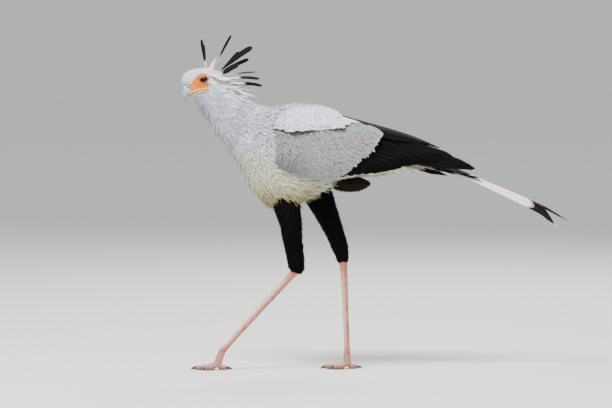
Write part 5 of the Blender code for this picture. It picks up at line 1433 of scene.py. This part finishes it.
def make_lids(material, lash_material):
    """Almond lids: a closed ring round the eye, creased by a sine of the turn, and a row of short lashes on
    its upper edge."""
    for side, sign in SIDES.items():
        turn = (np.arange(LID_STEPS) * 2 * math.pi / LID_STEPS)[:, None]
        tube = (np.arange(LID_SIDES) * 2 * math.pi / LID_SIDES)[None, :]
        thick = LID_THICK * (1.0 + 0.05 * np.sin(turn * 31) * np.maximum(np.cos(tube), 0))
        grid = lid_place(turn, thick * np.cos(tube), thick * np.sin(tube) * 0.85, sign)
        index = np.arange(LID_STEPS * LID_SIDES).reshape(LID_STEPS, LID_SIDES)
        after, below = np.roll(index, -1, axis=1), np.roll(index, -1, axis=0)
        quads = np.stack([index, after, np.roll(after, -1, axis=0), below], axis=-1).reshape(-1, 4)
        if sign < 0:
            quads = quads[:, ::-1]
        inner = fade(-np.cos(tube) + 0 * turn, -0.05, 0.35)
        behind = fade(np.cos(turn) + 0.8 * np.sin(turn) + 0 * tube, -0.2, 0.7)
        marks = np.stack([inner, behind, 0 * behind], axis=-1).reshape(-1, 3)
        mesh = new_mesh("lids", grid.reshape(-1, 3), quads, (), {"face": marks})
        add_piece(f"lids_{side}", mesh, material, ["head"])
        angle = np.linspace(math.radians(20), math.radians(165), LASHES)
        s = np.linspace(0, 1, DARK_STATIONS)[None, :]
        path = lid_place(angle[:, None], 0.0004 + 0.0040 * s ** 1.4, 0.0022 + 0.0016 * s ** 0.7, sign)
        normal = np.broadcast_to(np.array((0.0, sign, 0.0)), path.shape)
        lot = blades(path, normal, np.full(LASHES, 0.0005), lance(DARK_STATIONS, 0.3), POINTED,
                     np.zeros(LASHES), thick=0.0003)
        add_blades(f"lashes_{side}", [lot], lash_material, ["head"], patch=None)


# Legs
def scute_height(length, front):
    """Overlapping plates on the front: a squared saw-tooth of the length, highest at each lower edge."""
    return SCUTE_RISE * ((length / SCUTE_PITCH) % 1.0) ** 2 * front


def make_tarsus(side, sign, material):
    """A shank: rings square to its middle line, swollen at the ankle, with plates down the front. The marks
    are its pale front, its dirt near the foot and the dark gaps between plates."""
    table = along(smooth(TARSUS_ROWS[side], 44), np.linspace(0.0, 1.0, SHANK_RINGS))
    low, high = TARSUS_ROWS[side][-1][1], TARSUS_ROWS[side][0][1]
    path = leg_path(table, ANKLE_SIDE, FOOT_SIDE, low, high) * (1, sign, 1)
    path = np.vstack([2 * path[0] - path[10], path])
    sizes = np.vstack([table[0], table])
    grid = tube_grid(path, sizes[:, 2], sizes[:, 3], 40)
    normals = Hide(grid).normals
    gone = np.concatenate([[0.0], np.cumsum(np.linalg.norm(np.diff(path, axis=0), axis=1))])[:, None]
    front = fade(-normals[..., 0], -0.30, 0.35)
    grid = grid + normals * scute_height(gone, front)[..., None]
    points, quads, tris = closed_sleeve(grid)
    step = (gone / SCUTE_PITCH) % 1.0
    foot = fade(gone, gone[-1] - 0.05, gone[-1])
    pale = 0.65 * front * front * fade(gone, 0.03, 0.08) * (0.55 + 0.45 * step) * (1 - 0.6 * foot)
    crack = 0.9 * front * fade(step, 0.82, 0.95) * fade(gone, 0.02, 0.04)
    marks = np.stack([pale, 0.30 * foot + 0 * front, crack], axis=-1).reshape(-1, 3)
    mesh = new_mesh("tarsus", points, quads, tris, {"face": np.vstack([marks, marks[0], marks[-1]])})
    add_piece(f"shank_{side}", mesh, material, [f"tarsus_{side}"])


def flat_under(grid):
    """The underside pressed flat at the floor's level."""
    return np.stack([grid[..., 0], grid[..., 1], np.maximum(grid[..., 2], 0.0)], axis=-1)


def make_foot(side, sign, skin_material, claw_material):
    """Joint, three front toes and the hind toe joined as one skin. A toe is a tube along a smooth line whose
    radius swells at its pads, with plates above and a flat sole."""
    joint = np.array((FOOT_X[side], sign * FOOT_SIDE, JOINT_HEIGHT))
    last, before = TARSUS_ROWS[side][-1], TARSUS_ROWS[side][-2]
    end = np.array((last[0], sign * FOOT_SIDE, last[1]))
    run = unit(end - np.array((before[0], sign * (FOOT_SIDE + 0.001), before[1])))
    knuckle = smooth([end - run * 0.004, (end + joint) / 2, joint, joint + run * 0.006], 12)
    thick = np.interp(np.linspace(0, 1, len(knuckle)), (0, 0.4, 0.8, 1.0), (0.0100, 0.0112, 0.0115, 0.008))
    pieces = [loose_sleeve("knuckle", flat_under(tube_grid(knuckle, thick, thick * 1.02, 40)))]
    for name, degrees, length, root_size, tip_size, claw_length in TOES:
        heading = math.radians(degrees) * sign
        ahead = np.array((-math.cos(heading), math.sin(heading), 0.0))
        reach = (np.array(TOE_SHARES) * length)[:, None]
        line = joint * (1, 1, 0) + ahead * reach + np.outer(TOE_HEIGHTS, (0, 0, 1))
        path = smooth(line, 16)
        share = np.linspace(0, 1, len(path))
        size = np.linspace(root_size, tip_size, len(path))
        size = size * np.interp(share, TOE_SHARES, TOE_SWELL)
        grid = tube_grid(path, size, size * 1.08, 36)
        normals = Hide(grid).normals
        top = fade(normals[..., 2], 0.2, 0.7)
        grid = grid + normals * scute_height(share[:, None] * length, top)[..., None] * 0.8
        pieces.append(loose_sleeve("toe", flat_under(grid)))
        make_claw(f"{side}_{name}", path[-1], ahead, tip_size * 0.78, claw_length, claw_material)
    mesh = union(pieces[0], pieces[1:])
    mesh.name = "foot"
    z = read_points(mesh)[:, 2]
    dirt = 0.30 + 0.5 * fade(z, 0.006, 0.0)
    write_vector(mesh, "face", np.stack([0.25 * fade(z, 0.008, 0.014), dirt, 0 * z], axis=-1))
    mesh.shade_smooth()
    add_piece(f"toes_{side}", mesh, skin_material, [f"foot_{side}"])


def make_claw(name, tip, ahead, radius, length, material):
    """A claw off the toe's end: its line drops with a power of the share gone, and it narrows to a point."""
    share = np.linspace(0.0, 1.0, 24)
    drop = np.outer(CLAW_DROP * share ** 2.4, (0, 0, 1))
    path = tip + ahead * 0.0003 + np.outer(share * length, ahead) - drop
    path[:, 2] = np.maximum(path[:, 2], 0.0011)
    size = radius * (1.0 - share ** 1.6 * 0.92)
    points, quads, tris = closed_sleeve(flat_under(tube_grid(path, size, size * 0.8, 24)))
    add_piece(f"talon_{name}", new_mesh("claw", points, quads, tris), material, [f"claw_{name}"])


# Studio
def make_studio():
    """A pale floor, its colour lighter with distance as painted light so that it fades into the sky; soft
    lamps that face the bird, a pale sky and the photograph's view.
    """
    span = FLOOR_HALF
    corners = np.array([(-span, -span, 0), (span, -span, 0), (span, span, 0), (-span, span, 0)], float)
    floor = bpy.data.objects.new("floor", new_mesh("floor", corners, [(0, 1, 2, 3)]))
    material, tree, node = shader("floor_paper", 1.0, Specular_IOR_Level=0.0)
    away = put(tree, "ShaderNodeVectorMath", [(0, object_place(tree))], operation="LENGTH").outputs["Value"]
    # Painted light: the floor's colour brightens from near to far, evening out the lamps' falloff into the
    # sky
    paper = mix(tree, ramp(tree, away, 2.0, 14.0), FLOOR_NEAR, FLOOR_FAR)
    tree.links.new(paper, node.inputs["Base Color"])
    floor.data.materials.append(material)
    bpy.context.scene.collection.objects.link(floor)
    middle = Vector(VIEW_MIDDLE)
    for name, place, size, power in LAMPS:
        lamp = bpy.data.lights.new(name, "AREA")
        lamp.size = size
        lamp.energy = power
        item = bpy.data.objects.new(name, lamp)
        item.location = place
        item.rotation_euler = (middle - Vector(place)).to_track_quat("-Z", "Y").to_euler()
        bpy.context.scene.collection.objects.link(item)
    world = bpy.data.worlds.new("studio")
    world.use_nodes = True
    sky = world.node_tree.nodes["Background"]
    sky.inputs["Color"].default_value = SKY_COLOUR
    sky.inputs["Strength"].default_value = SKY_STRENGTH
    bpy.context.scene.world = world
    camera = bpy.data.cameras.new("photo_view")
    camera.sensor_width = SENSOR
    camera.lens = SENSOR * VIEW_DISTANCE / VIEW_WIDTH
    camera.clip_end = 120.0
    item = bpy.data.objects.new("photo_view", camera)
    back = Vector((0.0, -math.cos(VIEW_RISE), math.sin(VIEW_RISE)))
    item.location = middle + back * VIEW_DISTANCE
    item.rotation_euler = (-back).to_track_quat("-Z", "Y").to_euler()
    bpy.context.scene.collection.objects.link(item)
    bpy.context.scene.camera = item


# The bird, built from the skin outwards
barbs, plumage = barb_group(), plumage_group()
body, body_table, body_spots = body_hide()
body_material = body_feather(barbs, plumage)
# The coverts' dark colour, colour(34, 35, 30), is their painted shade low in front and in the fold
covert_material = vane_finish("covert_feather", barbs, colour(134, 140, 152), colour(140, 130, 122),
                              colour(180, 179, 178), colour(34, 35, 30), 0.5, 0.65, colour(68, 67, 70))
scapular_material = vane_finish("scapular_feather", barbs, colour(204, 211, 226), colour(204, 201, 206),
                                colour(238, 238, 243), colour(30, 28, 28), 0.5, 0.5, colour(132, 136, 148))
tail_material = vane_finish("tail_feather", barbs, colour(236, 234, 226), colour(226, 220, 206),
                            colour(242, 240, 234), colour(9, 8, 9), 0.25, 0.20, colour(190, 180, 170))
hackle_material = vane_finish("hackle_feather", barbs, colour(236, 237, 242), colour(224, 228, 236),
                              colour(246, 246, 248), colour(60, 50, 46), 0.3, 0.25, colour(170, 172, 180))
flight_material = dark_feather("flight_feather", barbs, colour(3, 3, 4), colour(9, 8, 9), colour(30, 25, 24))
thigh_material = dark_feather("thigh_feather", barbs, colour(3, 3, 4), colour(9, 8, 9), colour(16, 15, 15))
vent_material = dark_feather("vent_feather", barbs, colour(16, 11, 9), colour(44, 30, 22),
                             colour(58, 42, 32))
make_skin(body, skin_finish(plumage))
make_coat(body, body_table, body_spots, body_material)
make_throat(body, body_spots, body_material)
make_hackles(body, body_spots, hackle_material)
make_flank(body, body_spots, body_material)
make_thigh_coat(thigh_material)
make_vent_coat(vent_material)
cloak = cloak_hide()
for side, sign in SIDES.items():
    make_coverts(cloak, side, sign, covert_material)
    make_scapulars(cloak, side, sign, scapular_material)
    make_flight(cloak, side, sign, flight_material)
make_tail(tail_material)
make_crest(tail_material)
make_bill(horn_finish())
make_eyes(eye_finish())
make_lids(lid_finish(), thigh_material)
leg_material, claw_material = leg_finish(), claw_finish()
for side, sign in SIDES.items():
    make_tarsus(side, sign, leg_material)
    make_foot(side, sign, leg_material, claw_material)
make_studio()
